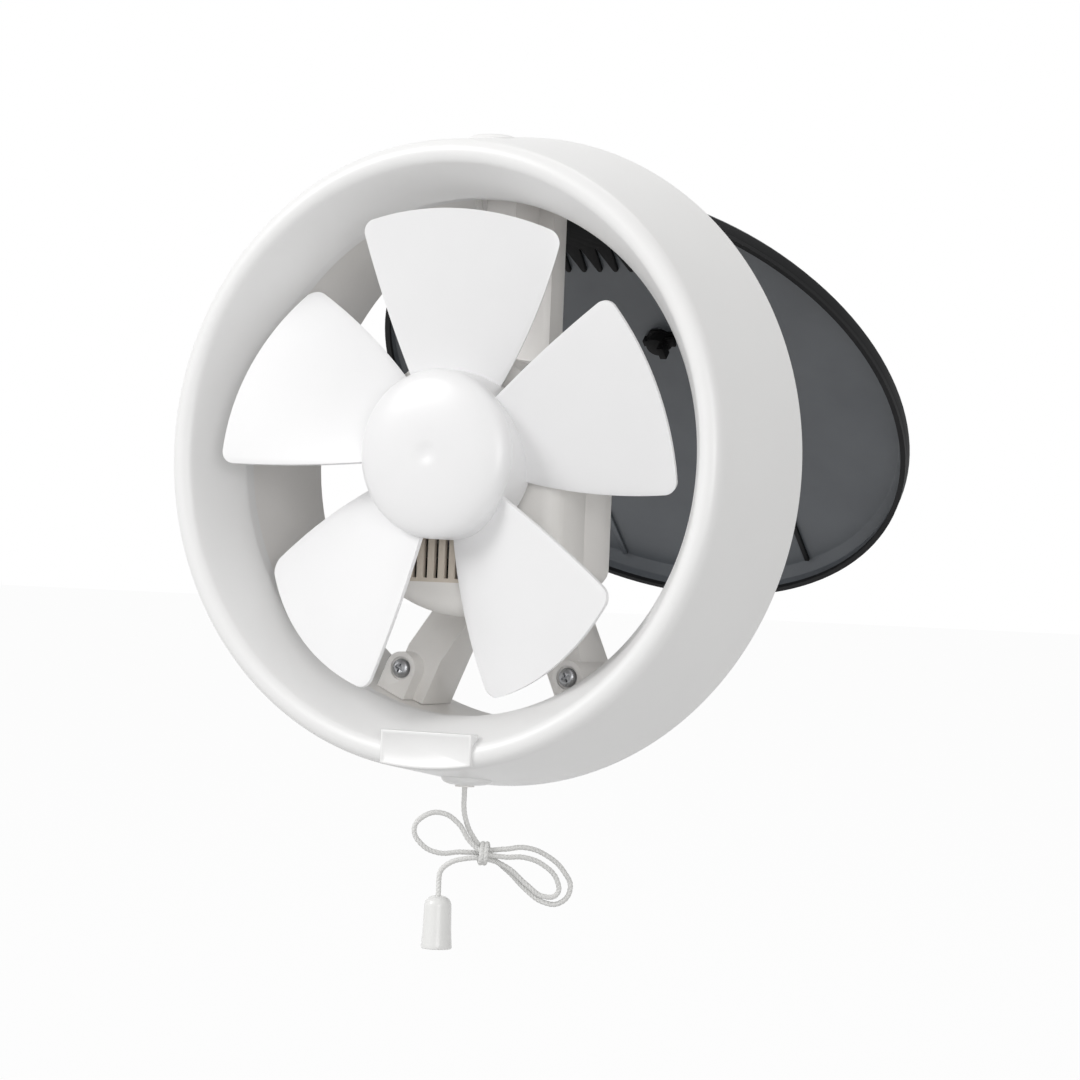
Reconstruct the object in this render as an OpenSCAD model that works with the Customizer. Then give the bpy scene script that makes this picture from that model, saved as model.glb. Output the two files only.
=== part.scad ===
// Round wall exhaust fan with a hinged rear shutter and a pull cord.
// The fan's axis is Y, the room is towards -Y, and the wall's room side is the plane y = 0.

/* [Front ring] */
// Radius of the skirt where it meets the wall
ring_r = 135.5; // [134:0.5:138]
// Radius of the skirt at its front edge
ring_front_r = 128; // [127:0.5:130]
// How far the ring stands out from the wall
ring_depth = 60.5; // [59:0.5:63]
// Radius of the rounded front edge
edge_r = 5.5; // [4:0.5:8]
// Thickness of the ring's shell
ring_wall = 2.5; // [2:0.25:3]
// Gap between a blade's tip and the throat
tip_gap = 6; // [5:0.5:7]
// How far in front of the wall the bell ends and the lip starts
lip_y = 34; // [33:0.5:35]
// Length of the lip that the duct slides over
lip_l = 5; // [4:0.5:6]
// Angle from the ring's front to where the rounded edge meets the bell
bell_angle = 60; // [50:1:65]
// Radius of the low bosses at the ring's top and bottom
pad_r = 11; // [10:0.5:12]
// Height of the top boss above the fan's axis
pad_top_h = 133.6; // [133.2:0.2:134.4]
// Height of the bottom boss below the fan's axis
pad_h = 134.6; // [134.2:0.2:135.6]

/* [Nameplate] */
// Width of the blank nameplate
plate_w = 42; // [30:1:46]
// Height of the blank nameplate
plate_h = 16; // [10:1:18]
// Sideways place of the blank nameplate
plate_x = 2.8; // [0:0.2:5]
// How far the nameplate stands in front of the ring
plate_rise = 1.25; // [1:0.25:3]
// Thickness of the nameplate at its top
plate_t = 6; // [4:0.5:8]

/* [Duct] */
// Gap between the lip and the duct around it
spigot_gap = 0.3; // [0.2:0.05:0.3]
// Thickness of the duct's wall
duct_wall = 2.4; // [2:0.2:3]
// How far the duct reaches past the wall's room side
duct_back = 30; // [29:0.5:31]
// Thickness of the flange on the wall
flange_t = 2.5; // [2:0.25:3]
// Thickness of the foam gasket
gasket_t = 2; // [1.5:0.25:2.5]
// Radius of the circle of wall screws
wall_circle_r = 122; // [119:1:125]
// Radius of a wall screw's hole
wall_hole_r = 2.5; // [2:0.25:3]
// Thickness of wall that the rear ring leaves room for
wall_room = 16; // [14:0.5:16]
// Radius of the rear ring
rear_ring_r = 123.5; // [122.5:0.5:124]

/* [Blades] */
// Number of blades
blade_count = 5; // [4:1:5]
// Radius at the blades' tips
blade_r = 100; // [97:1:101]
// Thickness of a blade
blade_t = 2; // [1.6:0.2:2.6]
// Radius of a blade's rounded corners
blade_corner_r = 5; // [4:0.5:8]
// Radius of the hub
hub_r = 34.5; // [32:0.5:36]
// Length of the hub's wall
hub_h = 18; // [17:0.5:18.5]
// Thickness of the hub's shell
hub_wall = 2; // [1.6:0.2:2.4]
// Height of the spinner's dome
dome_h = 9.5; // [8:0.5:11]

/* [Motor] */
// Radius of the motor case
case_r = 65.7; // [63:0.5:67]
// Half width between the motor case's flats
case_half_w = 46; // [44:0.5:48]
// Height of the motor case above the fan's axis
case_top = 42.5; // [42:0.25:43.5]
// Radius of the motor case's front edge
case_edge_r = 9; // [6:0.5:10]
// Thickness of the motor case
case_wall = 2.2; // [1.8:0.2:2.6]
// Distance from the wall's room side to the motor case's front
case_front = 37; // [36.5:0.5:37.5]
// Width of a cooling slot
slot_w = 2; // [1.5:0.25:2.5]
// Distance from slot to slot
slot_pitch = 5; // [4.5:0.25:5.5]
// Radius of the motor shaft
shaft_r = 4; // [3.5:0.25:4.5]
// Running clearance of the shaft in its bearings
shaft_gap = 0.03; // [0.02:0.01:0.06]
// Outer radius of a bearing
bearing_r = 9; // [8.5:0.25:9.5]
// Radius of the stator core
stator_r = 38; // [37:0.5:38.5]
// Length of the stator core
stator_h = 18; // [16:0.5:18.5]
// Radius of the rotor
rotor_r = 20.6; // [18:0.2:20.6]
// Air gap between rotor and stator
air_gap = 0.4; // [0.4:0.1:0.8]

/* [Bracket] */
// Width of a lower leg from its screw inwards
leg_in_w = 12; // [10:0.5:13]
// Width of a lower leg from its screw outwards
leg_out_w = 5; // [4:0.5:8]
// Half width of the upper column
column_half_w = 14; // [13:0.5:15]
// Angle of a lower leg from straight down
leg_angle = 24; // [23:1:26]
// Radius of the circle of bracket screws
foot_circle_r = 97; // [96:0.5:98]
// Half width of a foot
foot_half_w = 7; // [6.6:0.2:7.4]
// Distance from the wall's room side to a foot's front
foot_front = 12; // [11:0.5:13]
// Thickness of the bracket's plates and ribs
leg_wall = 2.4; // [2:0.2:2.8]
// Radius of a bracket screw
screw_r = 2; // [1.75:0.25:2.25]
// Radius of a bracket screw's head
screw_head_r = 4; // [3.6:0.2:4.4]
// Depth of the round seat around a bracket screw's head
screw_seat = 1.4; // [0.8:0.2:1.6]

/* [Shutter] */
// Radius of the shutter
shutter_r = 123.4; // [122.4:0.2:124.4]
// Thickness of the shutter's shell
shutter_wall = 2; // [1.6:0.2:2.4]
// Depth of the shutter's rim
shutter_depth = 12; // [11:0.5:12]
// How far the hinge lies outside the shutter's edge
hinge_out = 2; // [2:0.25:3]
// How far past the wall's room side the hinge lies
hinge_y = 39.4; // [39:0.2:40]
// Distance along the fan's axis from the closed shutter's rim to the hinge
hinge_back = 12.3; // [12.2:0.1:13]
// Angle to which the shutter opens
open_angle = 47; // [40:1:50]
// Radius of the hinge pin
hinge_pin_r = 1.5; // [1.25:0.25:1.75]
// Radius of the hinge's knuckles
knuckle_r = 3.6; // [3.2:0.1:3.8]
// Thickness of the rubber seal
seal_t = 2; // [1.5:0.25:2]

/* [Shutter catch] */
// Sideways place of the catch
catch_x = 21; // [21:0.5:23]
// Height of the catch above the fan's axis
catch_z = 31; // [29:1:32]
// Width of the catch's tongue
tongue_w = 3; // [2.5:0.25:3.5]
// Gap between the tongue and the latch on either side
tongue_gap = 0.8; // [0.5:0.1:1]

/* [Pull cord] */
// Thickness of the pull cord
cord_d = 2.2; // [2:0.1:2.4]
// Length of a pull on the cord
pull_travel = 8; // [6:0.5:8.5]
// Distance from the wall's room side to the cord
cord_front = 23; // [22:0.5:24]
// Height of the knob on the cord's end
knob_h = 21.6; // [18:0.2:26]
// Radius of the knob at its base
knob_r = 6.4; // [5.5:0.1:7.5]
// Angle of the bow's plane to the wall
bow_turn = 29; // [0:1:60]

/* [Hidden] */

// Colours
shell_white = [0.94, 0.94, 0.94];
steel = [0.62, 0.63, 0.65];
slate = [0.33, 0.35, 0.36];
black = [0.08, 0.08, 0.09];
copper = [0.72, 0.42, 0.22];

// Round parts are turned about the fan's axis, with the profile's height along Y
module turned(sides = 180) { rotate([-90, 0, 0]) rotate_extrude($fn = sides) children(); }
// A round bar along Y from y0 to y1
module bar_y(r, y0, y1, x = 0, z = 0) {
    translate([x, y0, z]) rotate([-90, 0, 0]) cylinder(h = y1 - y0, r = r, $fn = 48);
}
// A wide one about the fan's axis
module bar_fine(r, y0, y1) {
    translate([0, y0, 0]) rotate([-90, 0, 0]) cylinder(h = y1 - y0, r = r, $fn = 180);
}
// A round bar along X from x0 to x1
module bar_x(r, x0, x1, y = 0, z = 0) {
    translate([x0, y, z]) rotate([0, 90, 0]) cylinder(h = x1 - x0, r = r, $fn = 48);
}
// A round bar along Z from z0 to z1
module bar_z(r, z0, z1, x = 0, y = 0) { translate([x, y, z0]) cylinder(h = z1 - z0, r = r, $fn = 48); }
// A block between two corners
module block(low, high) { translate(low) cube(high - low); }
// Turns what is drawn at the top of the fan to another angle, counted from +X towards +Z
module at_angle(a) { rotate([0, 90 - a, 0]) children(); }

// Sizes of the ring
throat_r = blade_r + tip_gap;
crest_r = ring_front_r - edge_r;
crest_y = -(ring_depth - edge_r);
skirt_slope = (ring_r - ring_front_r) / -crest_y;
function skirt_at(y) = ring_r + y * skirt_slope;
// A point of the curve from a to c that b pulls towards itself
function bend(a, b, c, t) = (1 - t) * (1 - t) * a + 2 * t * (1 - t) * b + t * t * c;
function edge_at(a, d) = [crest_r + (edge_r - d) * cos(a), crest_y - (edge_r - d) * sin(a)];
// Half outline of the shell from the wall round the front edge to the lip, drawn in by a distance
function shell_side(d) = let(
    from = edge_at(90 + bell_angle, d),
    pull = [throat_r + d, from[1] + (from[0] - throat_r - d) * tan(bell_angle)],
    to = [throat_r + d, -lip_y])
    concat([[ring_r - d, 0]],
    [for (i = [0:14]) edge_at(atan(skirt_slope) + (90 + bell_angle - atan(skirt_slope)) * i / 14, d)],
    [for (t = [0.125:0.125:1]) bend(from, pull, to, t)], [[throat_r + d, lip_l - lip_y]]);
function turned_back(list) = [for (i = [len(list) - 1:-1:0]) list[i]];

// The pull cord leaves through a bush in the ring's lower pad
pad_y = -21;
bush_hole_r = 3;
bush_head_h = 0.7;
cord_exit_z = -(pad_h + bush_head_h + 1);
module ring_pad(h) {
    translate([0, pad_y, 0]) rotate_extrude($fn = 96) polygon([[0, crest_r], [pad_r, crest_r],
        [pad_r, h - 3.2], [pad_r - 0.6, h - 1.7], [pad_r - 1.8, h - 0.8], [pad_r - 3.4, h - 0.2],
        [pad_r - 5, h], [0, h]]);
}
module front_ring() {
    color(shell_white) difference() {
        union() {
            turned() polygon(concat(shell_side(0), turned_back(shell_side(ring_wall))));
            difference() {
                at_angle(90) ring_pad(pad_top_h);
                at_angle(-90) ring_pad(pad_h);
                turned() polygon([[0, crest_y], [skirt_at(crest_y) - ring_wall / 2, crest_y],
                    [ring_r - ring_wall / 2, 0], [0, 0]]);
            }
        }
        bar_z(bush_hole_r, -(pad_h + 1), -(crest_r + 4), 0, -cord_front);
    }
}

// The plate hooks over the lower front of the ring
plate_y = -ring_depth - plate_rise;
plate_top = -(crest_r - 10.5);
module nameplate() {
    color(shell_white) difference() {
        intersection() {
            block([plate_x - plate_w / 2, plate_y, plate_top - plate_h],
                [plate_x + plate_w / 2, plate_y + plate_t, plate_top]);
            bar_fine(ring_front_r - 1.2, plate_y - 1, 0);
        }
        turned() polygon(concat(shell_side(0), [[ring_r, lip_l - lip_y]]));
    }
}

// Sizes of the duct
duct_r = throat_r + ring_wall + spigot_gap;
duct_out = duct_r + duct_wall;
flange_y = -gasket_t;
flange_r = skirt_at(flange_y - flange_t) - ring_wall - spigot_gap;
duct_front = -lip_y + spigot_gap;
boss_y0 = -foot_front + 5;
boss_y1 = 4;
boss_r = 5;
feet = [90, 270 - leg_angle, 270 + leg_angle];
wall_screw_angles = [for (i = [0:3]) 45 + 90 * i];
ring_screw_angles = [30, 150, 210, 330];
ring_screw_r = 1.5;
lead_d = 3;
lead_y = -14;
lead_x = -9.5;
module duct_body() {
    color(shell_white) difference() {
        union() {
            turned() polygon([[duct_r, duct_front], [duct_out, duct_front], [duct_out, flange_y - flange_t],
                [flange_r, flange_y - flange_t], [flange_r, flange_y], [duct_out, flange_y],
                [duct_out, duct_back], [duct_r, duct_back]]);
            for (a = feet) at_angle(a) {
                bar_y(boss_r, boss_y0, boss_y1, 0, foot_circle_r);
                block([-2, boss_y0, foot_circle_r], [2, boss_y1, duct_r + duct_wall / 2]);
            }
        }
        for (a = feet) at_angle(a) bar_y(screw_r, boss_y0 - 1, boss_y1 - 1, 0, foot_circle_r);
        for (a = wall_screw_angles) at_angle(a)
            bar_y(wall_hole_r, flange_y - flange_t - 1, flange_y + 1, 0, wall_circle_r);
        for (a = ring_screw_angles) at_angle(a)
            bar_z(ring_screw_r, duct_r - 2, duct_out + 2, 0, ring_screw_y);
        bar_z(lead_d / 2 + 1, duct_r - 6, duct_out + 2, lead_x, lead_y);
    }
}
module wall_gasket() {
    color([0.75, 0.75, 0.75]) difference() {
        turned() polygon([[duct_out + 1, flange_y], [flange_r - 1, flange_y],
            [flange_r - 1, 0], [duct_out + 1, 0]]);
        for (a = wall_screw_angles) at_angle(a) bar_y(wall_hole_r, flange_y - 1, 1, 0, wall_circle_r);
    }
}

// The rear ring clamps the wall's outer side and carries the hinge
rear_y0 = wall_room + 1;
rear_t = 2.5;
sleeve_y1 = 24;
sleeve_gap = 0.1;
sleeve_r = duct_out + 2.4;
ring_screw_y = (rear_y0 + rear_t + sleeve_y1) / 2;
ear_in = 22;
ear_out = 26;
hinge_z = shutter_r + hinge_out;
arm_z0 = hinge_z + knuckle_r + 0.6;
arm_z1 = arm_z0 + 2.6;
module rear_ring() {
    color(shell_white) difference() {
        union() {
            turned() polygon([[duct_out + sleeve_gap, rear_y0], [rear_ring_r, rear_y0],
                [rear_ring_r, rim_y - 0.8],
                [rear_ring_r - 4, rim_y - 0.8], [rear_ring_r - 6, rear_y0 + rear_t],
                [sleeve_r, rear_y0 + rear_t], [sleeve_r, sleeve_y1], [duct_out + sleeve_gap, sleeve_y1]]);
            block([-ear_out, rear_y0, arm_z0], [ear_out, hinge_y + 1.8, arm_z1]);
            for (s = [-1, 1]) {
                x0 = s > 0 ? ear_in : -ear_out;
                x1 = s > 0 ? ear_out : -ear_in;
                block([x0, rear_y0, duct_out + 6], [x1, rear_y0 + rear_t, arm_z1]);
                block([x0, rear_y0, arm_z0], [x1, hinge_y + knuckle_r, arm_z1]);
                block([x0, hinge_y - knuckle_r, hinge_z], [x1, hinge_y + knuckle_r, arm_z1]);
                bar_x(knuckle_r, x0, x1, hinge_y, hinge_z);
            }
        }
        bar_x(hinge_pin_r, -ear_out - 1, ear_out + 1, hinge_y, hinge_z);
        for (s = [-1, 1])
            bar_z(torsion_wire_r + 0.15, arm_z0 - 1, arm_z1 + 1, s * torsion_x1, hinge_y - torsion_r);
        for (a = ring_screw_angles) at_angle(a)
            bar_z(ring_screw_r + 0.2, duct_out - 1, duct_out + 4, 0, ring_screw_y);
    }
}
module ring_screws() {
    color(steel) for (a = ring_screw_angles) at_angle(a) {
        bar_z(ring_screw_r, duct_r + 0.3, sleeve_r, 0, ring_screw_y);
        difference() {
            bar_z(ring_screw_r * 1.3, sleeve_r, sleeve_r + 1.6, 0, ring_screw_y);
            block([-0.3, ring_screw_y - 1.5, sleeve_r + 0.9], [0.3, ring_screw_y + 1.5, sleeve_r + 2]);
        }
    }
}

// Sizes of the motor, front to rear
case_back = 9;
split_y = -14;
cover_in = -case_front + case_wall;
rear_in = case_back - case_wall;
stator_y0 = -9 - stator_h;
stator_y1 = -9;
boss_case_r = bearing_r + 3;
bearing_h = 6.3;
front_bearing_y = cover_in;
rear_bearing_y = rear_in - 3.5 - bearing_h;
case_post_r = 4;
case_posts_at = [[38, -40], [-38, -40], [case_half_w - 4.5, 8], [4.5 - case_half_w, 8]];
case_corner_r = 8;
case_screw_r = 1.4;
stator_post_r = 34.5;
stator_screw_r = 1.5;
// Outline of the case seen from the room: a wide round lower half and a lower, oval upper half
module case_outline() {
    offset(case_corner_r, $fn = 64) offset(-case_corner_r, $fn = 64) intersection() {
        circle(r = case_r, $fn = 180);
        union() {
            translate([-case_half_w, -case_r]) square([case_half_w * 2, case_r]);
            scale([case_half_w / case_top, 1]) circle(r = case_top, $fn = 120);
        }
    }
}
// Solid of the case between two planes, drawn in by a distance and rounded at its front
module case_solid(y0, y1, d, edge) {
    r = case_r - d;
    w = case_half_w - d;
    intersection() {
        translate([0, y1, 0]) rotate([90, 0, 0]) linear_extrude(y1 - y0) offset(-d) case_outline();
        turned() intersection() {
            translate([0, y0]) square([r, y1 - y0]);
            union() {
                if (edge > 0) translate([r - edge, y0 + edge]) circle(r = edge, $fn = 64);
                translate([0, y0]) square([r - edge, y1 - y0]);
                translate([0, y0 + edge]) square([r, y1 - y0]);
            }
        }
        translate([0, 0, -r - 1]) linear_extrude(2 * r + 2) union() {
            translate([-w + edge, y0]) square([2 * (w - edge), y1 - y0]);
            translate([-w, y0 + edge]) square([2 * w, y1 - y0 - edge]);
            if (edge > 0) for (s = [-1, 1]) translate([s * (w - edge), y0 + edge]) circle(r = edge, $fn = 64);
        }
    }
}
module case_posts(r, y0, y1) {
    for (at = case_posts_at) bar_y(r, y0, y1, at[0], at[1]);
}
slot_count = floor((case_half_w - case_edge_r * 2) / slot_pitch);
slot_low = 20;
slot_high = 50.2;
module motor_cover() {
    color(shell_white) difference() {
        union() {
            difference() {
                case_solid(-case_front, split_y, 0, case_edge_r);
                case_solid(cover_in, split_y + 1, case_wall, case_edge_r - case_wall);
            }
            intersection() {
                case_posts(case_post_r, cover_in - 0.5, split_y);
                case_solid(-case_front, split_y, 0, case_edge_r);
            }
            bar_y(boss_case_r, cover_in - 0.5, front_bearing_y + bearing_h);
        }
        for (i = [-slot_count:slot_count])
            block([i * slot_pitch - slot_w / 2, -case_front - 1, -slot_high],
                [i * slot_pitch + slot_w / 2, cover_in + 1, -slot_low]);
        bar_y(bearing_r, front_bearing_y, front_bearing_y + bearing_h + 1);
        bar_y(shaft_r + 1, -case_front - 1, cover_in + 1);
        case_posts(case_screw_r, split_y - 14, split_y + 1);
    }
}

// The bracket is one moulding: the case's rear half, the column, two legs and three feet
leg_y0 = case_back;
leg_y1 = 20;
leg_in = 52;
column_in = 30;
leg_out = duct_r - spigot_gap;
leg_front = -foot_front + 8;
module leg(x0, x1, from) {
    block([x0, leg_y0 - 0.5, from], [x1, leg_y0 + leg_wall, leg_out]);
    for (x = [x0, x1 - leg_wall]) block([x, leg_y0, from], [x + leg_wall, leg_y1, leg_out]);
}
// The lower legs rise towards the room on their way to the feet
module leg_ramp(x0, x1) {
    ramp_z = foot_circle_r - 9;
    hull() {
        block([x0, leg_y0 - 0.5, leg_in + 10], [x1, leg_y0 + leg_wall, leg_in + 11]);
        block([x0, leg_front, ramp_z], [x1, leg_y0 + leg_wall, ramp_z + 1]);
    }
    block([x0, leg_front, ramp_z], [x1, leg_y0 + leg_wall, leg_out]);
}
module foot() {
    bar_y(foot_half_w, -foot_front, leg_y1, 0, foot_circle_r);
    block([-foot_half_w, -foot_front, foot_circle_r], [foot_half_w, leg_y1, leg_out + 1]);
}
// Room in a foot for the duct's boss, its rib and the screw
module foot_room() {
    bar_y(boss_r + spigot_gap, boss_y0, boss_y1 + spigot_gap, 0, foot_circle_r);
    block([-2 - spigot_gap, boss_y0, foot_circle_r], [2 + spigot_gap, boss_y1 + spigot_gap, leg_out + 2]);
    bar_y(screw_r + 0.3, -foot_front - 1, boss_y0 + 1, 0, foot_circle_r);
    bar_y(screw_head_r + 0.9, -foot_front - 1, -foot_front + screw_seat, 0, foot_circle_r);
}
module motor_bracket() {
    color(shell_white) difference() {
        union() {
            difference() {
                case_solid(split_y, case_back, 0, 0);
                case_solid(split_y - 1, rear_in, case_wall, 0);
            }
            intersection() {
                case_posts(case_post_r, split_y, rear_in + 0.5);
                case_solid(split_y, case_back, 0, 0);
            }
            bar_y(boss_case_r, rear_bearing_y - 0.5, rear_in + 0.5);
            for (a = [45:90:315]) at_angle(a) bar_y(case_post_r, stator_y1, rear_in + 0.5, 0, stator_post_r);
            intersection() {
                union() {
                    at_angle(feet[0]) leg(-column_half_w, column_half_w, column_in);
                    for (s = [-1, 1]) at_angle(270 + s * leg_angle) {
                        x0 = s > 0 ? -leg_out_w : -leg_in_w;
                        x1 = s > 0 ? leg_in_w : leg_out_w;
                        leg(x0, x1, leg_in);
                        leg_ramp(x0, x1);
                    }
                    for (a = feet) at_angle(a) foot();
                }
                bar_fine(leg_out, -foot_front - 1, leg_y1 + 1);
            }
            block([latch_x0, rear_in, column_in - 8], [latch_x1, case_back, catch_z + latch_half_h]);
        }
        for (a = feet) at_angle(a) foot_room();
        bar_y(bearing_r, rear_bearing_y - 1, rear_bearing_y + bearing_h);
        bar_y(shaft_r + 1, rear_bearing_y, rear_in);
        case_posts(case_screw_r + 0.3, split_y - 1, case_back + 1);
        for (a = [45:90:315]) at_angle(a)
            bar_y(stator_screw_r, stator_y1 - 1, stator_y1 + 8, 0, stator_post_r);
        bar_y(lead_d / 2 + 0.7, rear_in - 1, leg_y0 + leg_wall + 1, lead_x, lead_hole_z);
        block([lead_x - 2.2, leg_y0 - 1, 92], [lead_x + 2.2, leg_y0 + leg_wall + 1, leg_out + 1]);
    }
}
// A pan head with a cross recess, facing the room
module pan_head(r, h) {
    difference() {
        turned(48) polygon([[0, -h], [r * 0.62, -h], [r * 0.86, -h * 0.8], [r, -h * 0.35], [r, 0], [0, 0]]);
        for (a = [0, 90]) rotate([0, a, 0])
            block([-r * 0.11, -h - 1, -r * 0.5], [r * 0.11, -h * 0.45, r * 0.5]);
    }
}
bracket_screw_l = 13;
module bracket_screws() {
    color(steel) for (a = feet) at_angle(a) translate([0, screw_seat - foot_front, foot_circle_r]) {
        pan_head(screw_head_r, 2.6);
        bar_y(screw_r, -0.01, bracket_screw_l);
    }
}
module case_screws() {
    color(steel) for (at = case_posts_at)
        translate([at[0], case_back, at[1]]) {
            rotate([180, 0, 0]) pan_head(case_screw_r * 2.1, 1.8);
            bar_y(case_screw_r, split_y - case_back - 11, 0.01);
        }
}

// Laminated core with four poles, a coil on each, and the rotor inside
yoke_in = 31;
pole_half_w = 7.5;
core_in = rotor_r + air_gap;
coil_half_w = 12;
coil_z0 = core_in + 1.4;
coil_z1 = yoke_in - 2.8;
coil_over = 6.5;
module stator_core() {
    color([0.45, 0.46, 0.5]) difference() {
        union() {
            turned() polygon([[yoke_in, stator_y0], [stator_r, stator_y0],
                [stator_r, stator_y1], [yoke_in, stator_y1]]);
            for (a = [0:90:270]) at_angle(a)
                block([-pole_half_w, stator_y0, core_in - 1], [pole_half_w, stator_y1, yoke_in + 1]);
        }
        bar_fine(core_in, stator_y0 - 1, stator_y1 + 1);
        for (a = [45:90:315]) at_angle(a)
            bar_y(stator_screw_r + 0.2, stator_y0 - 1, stator_y1 + 1, 0, stator_post_r);
    }
}
module stator_coils() {
    color(copper) for (a = [0:90:270]) at_angle(a) difference() {
        block([-coil_half_w, stator_y0 - coil_over, coil_z0], [coil_half_w, stator_y1 + coil_over, coil_z1]);
        block([-pole_half_w - 0.1, stator_y0 - 0.1, coil_z0 - 1],
            [pole_half_w + 0.1, stator_y1 + 0.1, coil_z1 + 1]);
    }
}
module stator_screws() {
    color(steel) for (a = [45:90:315]) at_angle(a) translate([0, stator_y0, stator_post_r]) {
        pan_head(stator_screw_r * 1.9, 1.8);
        bar_y(stator_screw_r, -0.01, stator_h + 7);
    }
}
module rotor_core() {
    color([0.5, 0.5, 0.53]) turned() polygon([[shaft_r, stator_y0], [rotor_r, stator_y0],
        [rotor_r, stator_y1], [shaft_r, stator_y1]]);
}
shaft_front = -case_front - hub_h - 9;
module motor_shaft() {
    color(steel) difference() {
        bar_y(shaft_r, shaft_front, rear_in - 1.5);
        bar_x(pin_r, -shaft_r - 1, shaft_r + 1, pin_y, 0);
    }
}
module bearing(y0) {
    color([0.78, 0.66, 0.4]) turned() polygon([[shaft_r + shaft_gap, y0], [bearing_r, y0],
        [bearing_r, y0 + bearing_h], [shaft_r + shaft_gap, y0 + bearing_h]]);
}
module front_bearing() { bearing(front_bearing_y); }
module rear_bearing() { bearing(rear_bearing_y); }
// The capacitor and the terminals stand on the bracket's rear wall, below the stator
parts_low = -54;
capacitor_w = 27;
capacitor_l = 23;
capacitor_h = 12;
module run_capacitor() {
    color([0.2, 0.2, 0.22]) block([-3 - capacitor_w, rear_in - capacitor_l, parts_low],
        [-3, rear_in, parts_low + capacitor_h]);
}
terminal_w = 27;
terminal_l = 9;
terminal_h = 10;
terminal_count = 4;
terminal_pitch = 6;
module terminal_block() {
    color([0.9, 0.88, 0.8]) difference() {
        block([1, rear_in - terminal_l, parts_low], [1 + terminal_w, rear_in, parts_low + terminal_h]);
        for (i = [0:terminal_count - 1])
            bar_y(1.6, rear_in - terminal_l - 1, rear_in - 5,
                5.5 + i * terminal_pitch, parts_low + terminal_h / 2);
    }
}

// Tubes swept along a route
function unit(v) = v / norm(v);
function tangent_at(p, i) = unit(p[min(i + 1, len(p) - 1)] - p[max(i - 1, 0)]);
function across(p, i, n) = let(t = tangent_at(p, i)) unit(n - (n * t) * t);
function normals(p, i, n) = i >= len(p) ? [] : let(m = across(p, i, n)) concat([m], normals(p, i + 1, m));
// Halfway points between the given ones, on a smooth curve
function smooth(p) = [for (i = [0:len(p) - 2]) for (h = [0, 1])
    h == 0 ? p[i] : (9 * (p[i] + p[i + 1]) - p[max(i - 1, 0)] - p[min(i + 2, len(p) - 1)]) / 16];
function with_end(p) = concat(smooth(p), [p[len(p) - 1]]);
module tube(p, r, sides, start = [0, 1, 0]) {
    n = normals(p, 0, start);
    last = len(p) - 1;
    points = [for (i = [0:last]) for (k = [0:sides - 1])
        p[i] + r * (cos(360 * k / sides) * n[i] + sin(360 * k / sides) * cross(tangent_at(p, i), n[i]))];
    walls = [for (i = [0:last - 1]) for (k = [0:sides - 1])
        let(a = i * sides + k, b = i * sides + (k + 1) % sides)
        each [[a, a + sides, b + sides], [a, b + sides, b]]];
    ends = [for (k = [1:sides - 2]) each [[0, k, k + 1],
        [last * sides, last * sides + k + 1, last * sides + k]]];
    polyhedron(points, concat(walls, ends));
}

// How far the switch box reaches to the left and right of the cord
box_x0 = 8;
box_x1 = 10;
lead_z = -(duct_out + 7);

// The lead runs from the switch round the duct's outside and down the column into the case
lead_ring_r = duct_out + lead_d / 2 + 0.8;
lead_hole_z = 36;
lead_route = concat(
    [[box_x1, -cord_front, lead_z], [box_x1 + 3, -cord_front, lead_z], [18, -cord_front + 4, lead_z + 1.5]],
    [for (a = [-78:6.25:91]) [lead_ring_r * cos(a), lead_y, lead_ring_r * sin(a)]],
    [[-6, lead_y, lead_ring_r], [-8.8, lead_y, lead_ring_r - 0.3], [lead_x, lead_y, duct_out - 0.4],
    [lead_x, lead_y, duct_r - 3],
    [lead_x, lead_y + 3, duct_r - 8], [lead_x, 0, duct_r - 11], [lead_x, leg_y0 + 5, duct_r - 13],
    [lead_x, leg_y0 + 8, duct_r - 18], [lead_x, leg_y0 + 8, 72], [lead_x, leg_y0 + 8, 56],
    [lead_x, leg_y0 + 8, 44],
    [lead_x, leg_y0 + 5, lead_hole_z + 1], [lead_x, leg_y0 + 1, lead_hole_z],
    [lead_x, rear_in, lead_hole_z]]);
module wiring_lead() { color([0.85, 0.85, 0.85]) tube(lead_route, lead_d / 2, 8, [0, 0, 1]); }

// Sizes of the blades, counted along the axis from the hub's rear
hub_back = -case_front - 2;
hub_front = hub_back - hub_h;
pin_r = 1.25;
pin_y = hub_back - 4;
blade_fade = hub_wall / 2;
lead_edge_root = hub_front + 1.8;
lead_edge_tip = hub_front - 5.3;
rear_edge_root = hub_back - 2.2;
rear_edge_tip = hub_back + 1.5;
blade_a0_root = -16.5;
blade_a0_tip = -7.4;
blade_a1_root = 43;
blade_a1_tip = 39.4;
blade_camber = 3;
radial_steps = 6;
corner_steps = 4;
width_steps = 8;
function mix(a, b, t) = a + (b - a) * t;
root_r = hub_r - blade_fade;
corner_start = blade_r - blade_corner_r;
blade_radii = concat([for (i = [0:radial_steps]) mix(root_r, corner_start, i / radial_steps)],
    [for (i = [1:corner_steps]) corner_start + blade_corner_r * sin(90 * i / corner_steps)]);
function corner_cut(r) = r <= corner_start ? 0 :
    blade_corner_r - sqrt(max(0, pow(blade_corner_r, 2) - pow(r - corner_start, 2)));
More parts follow.
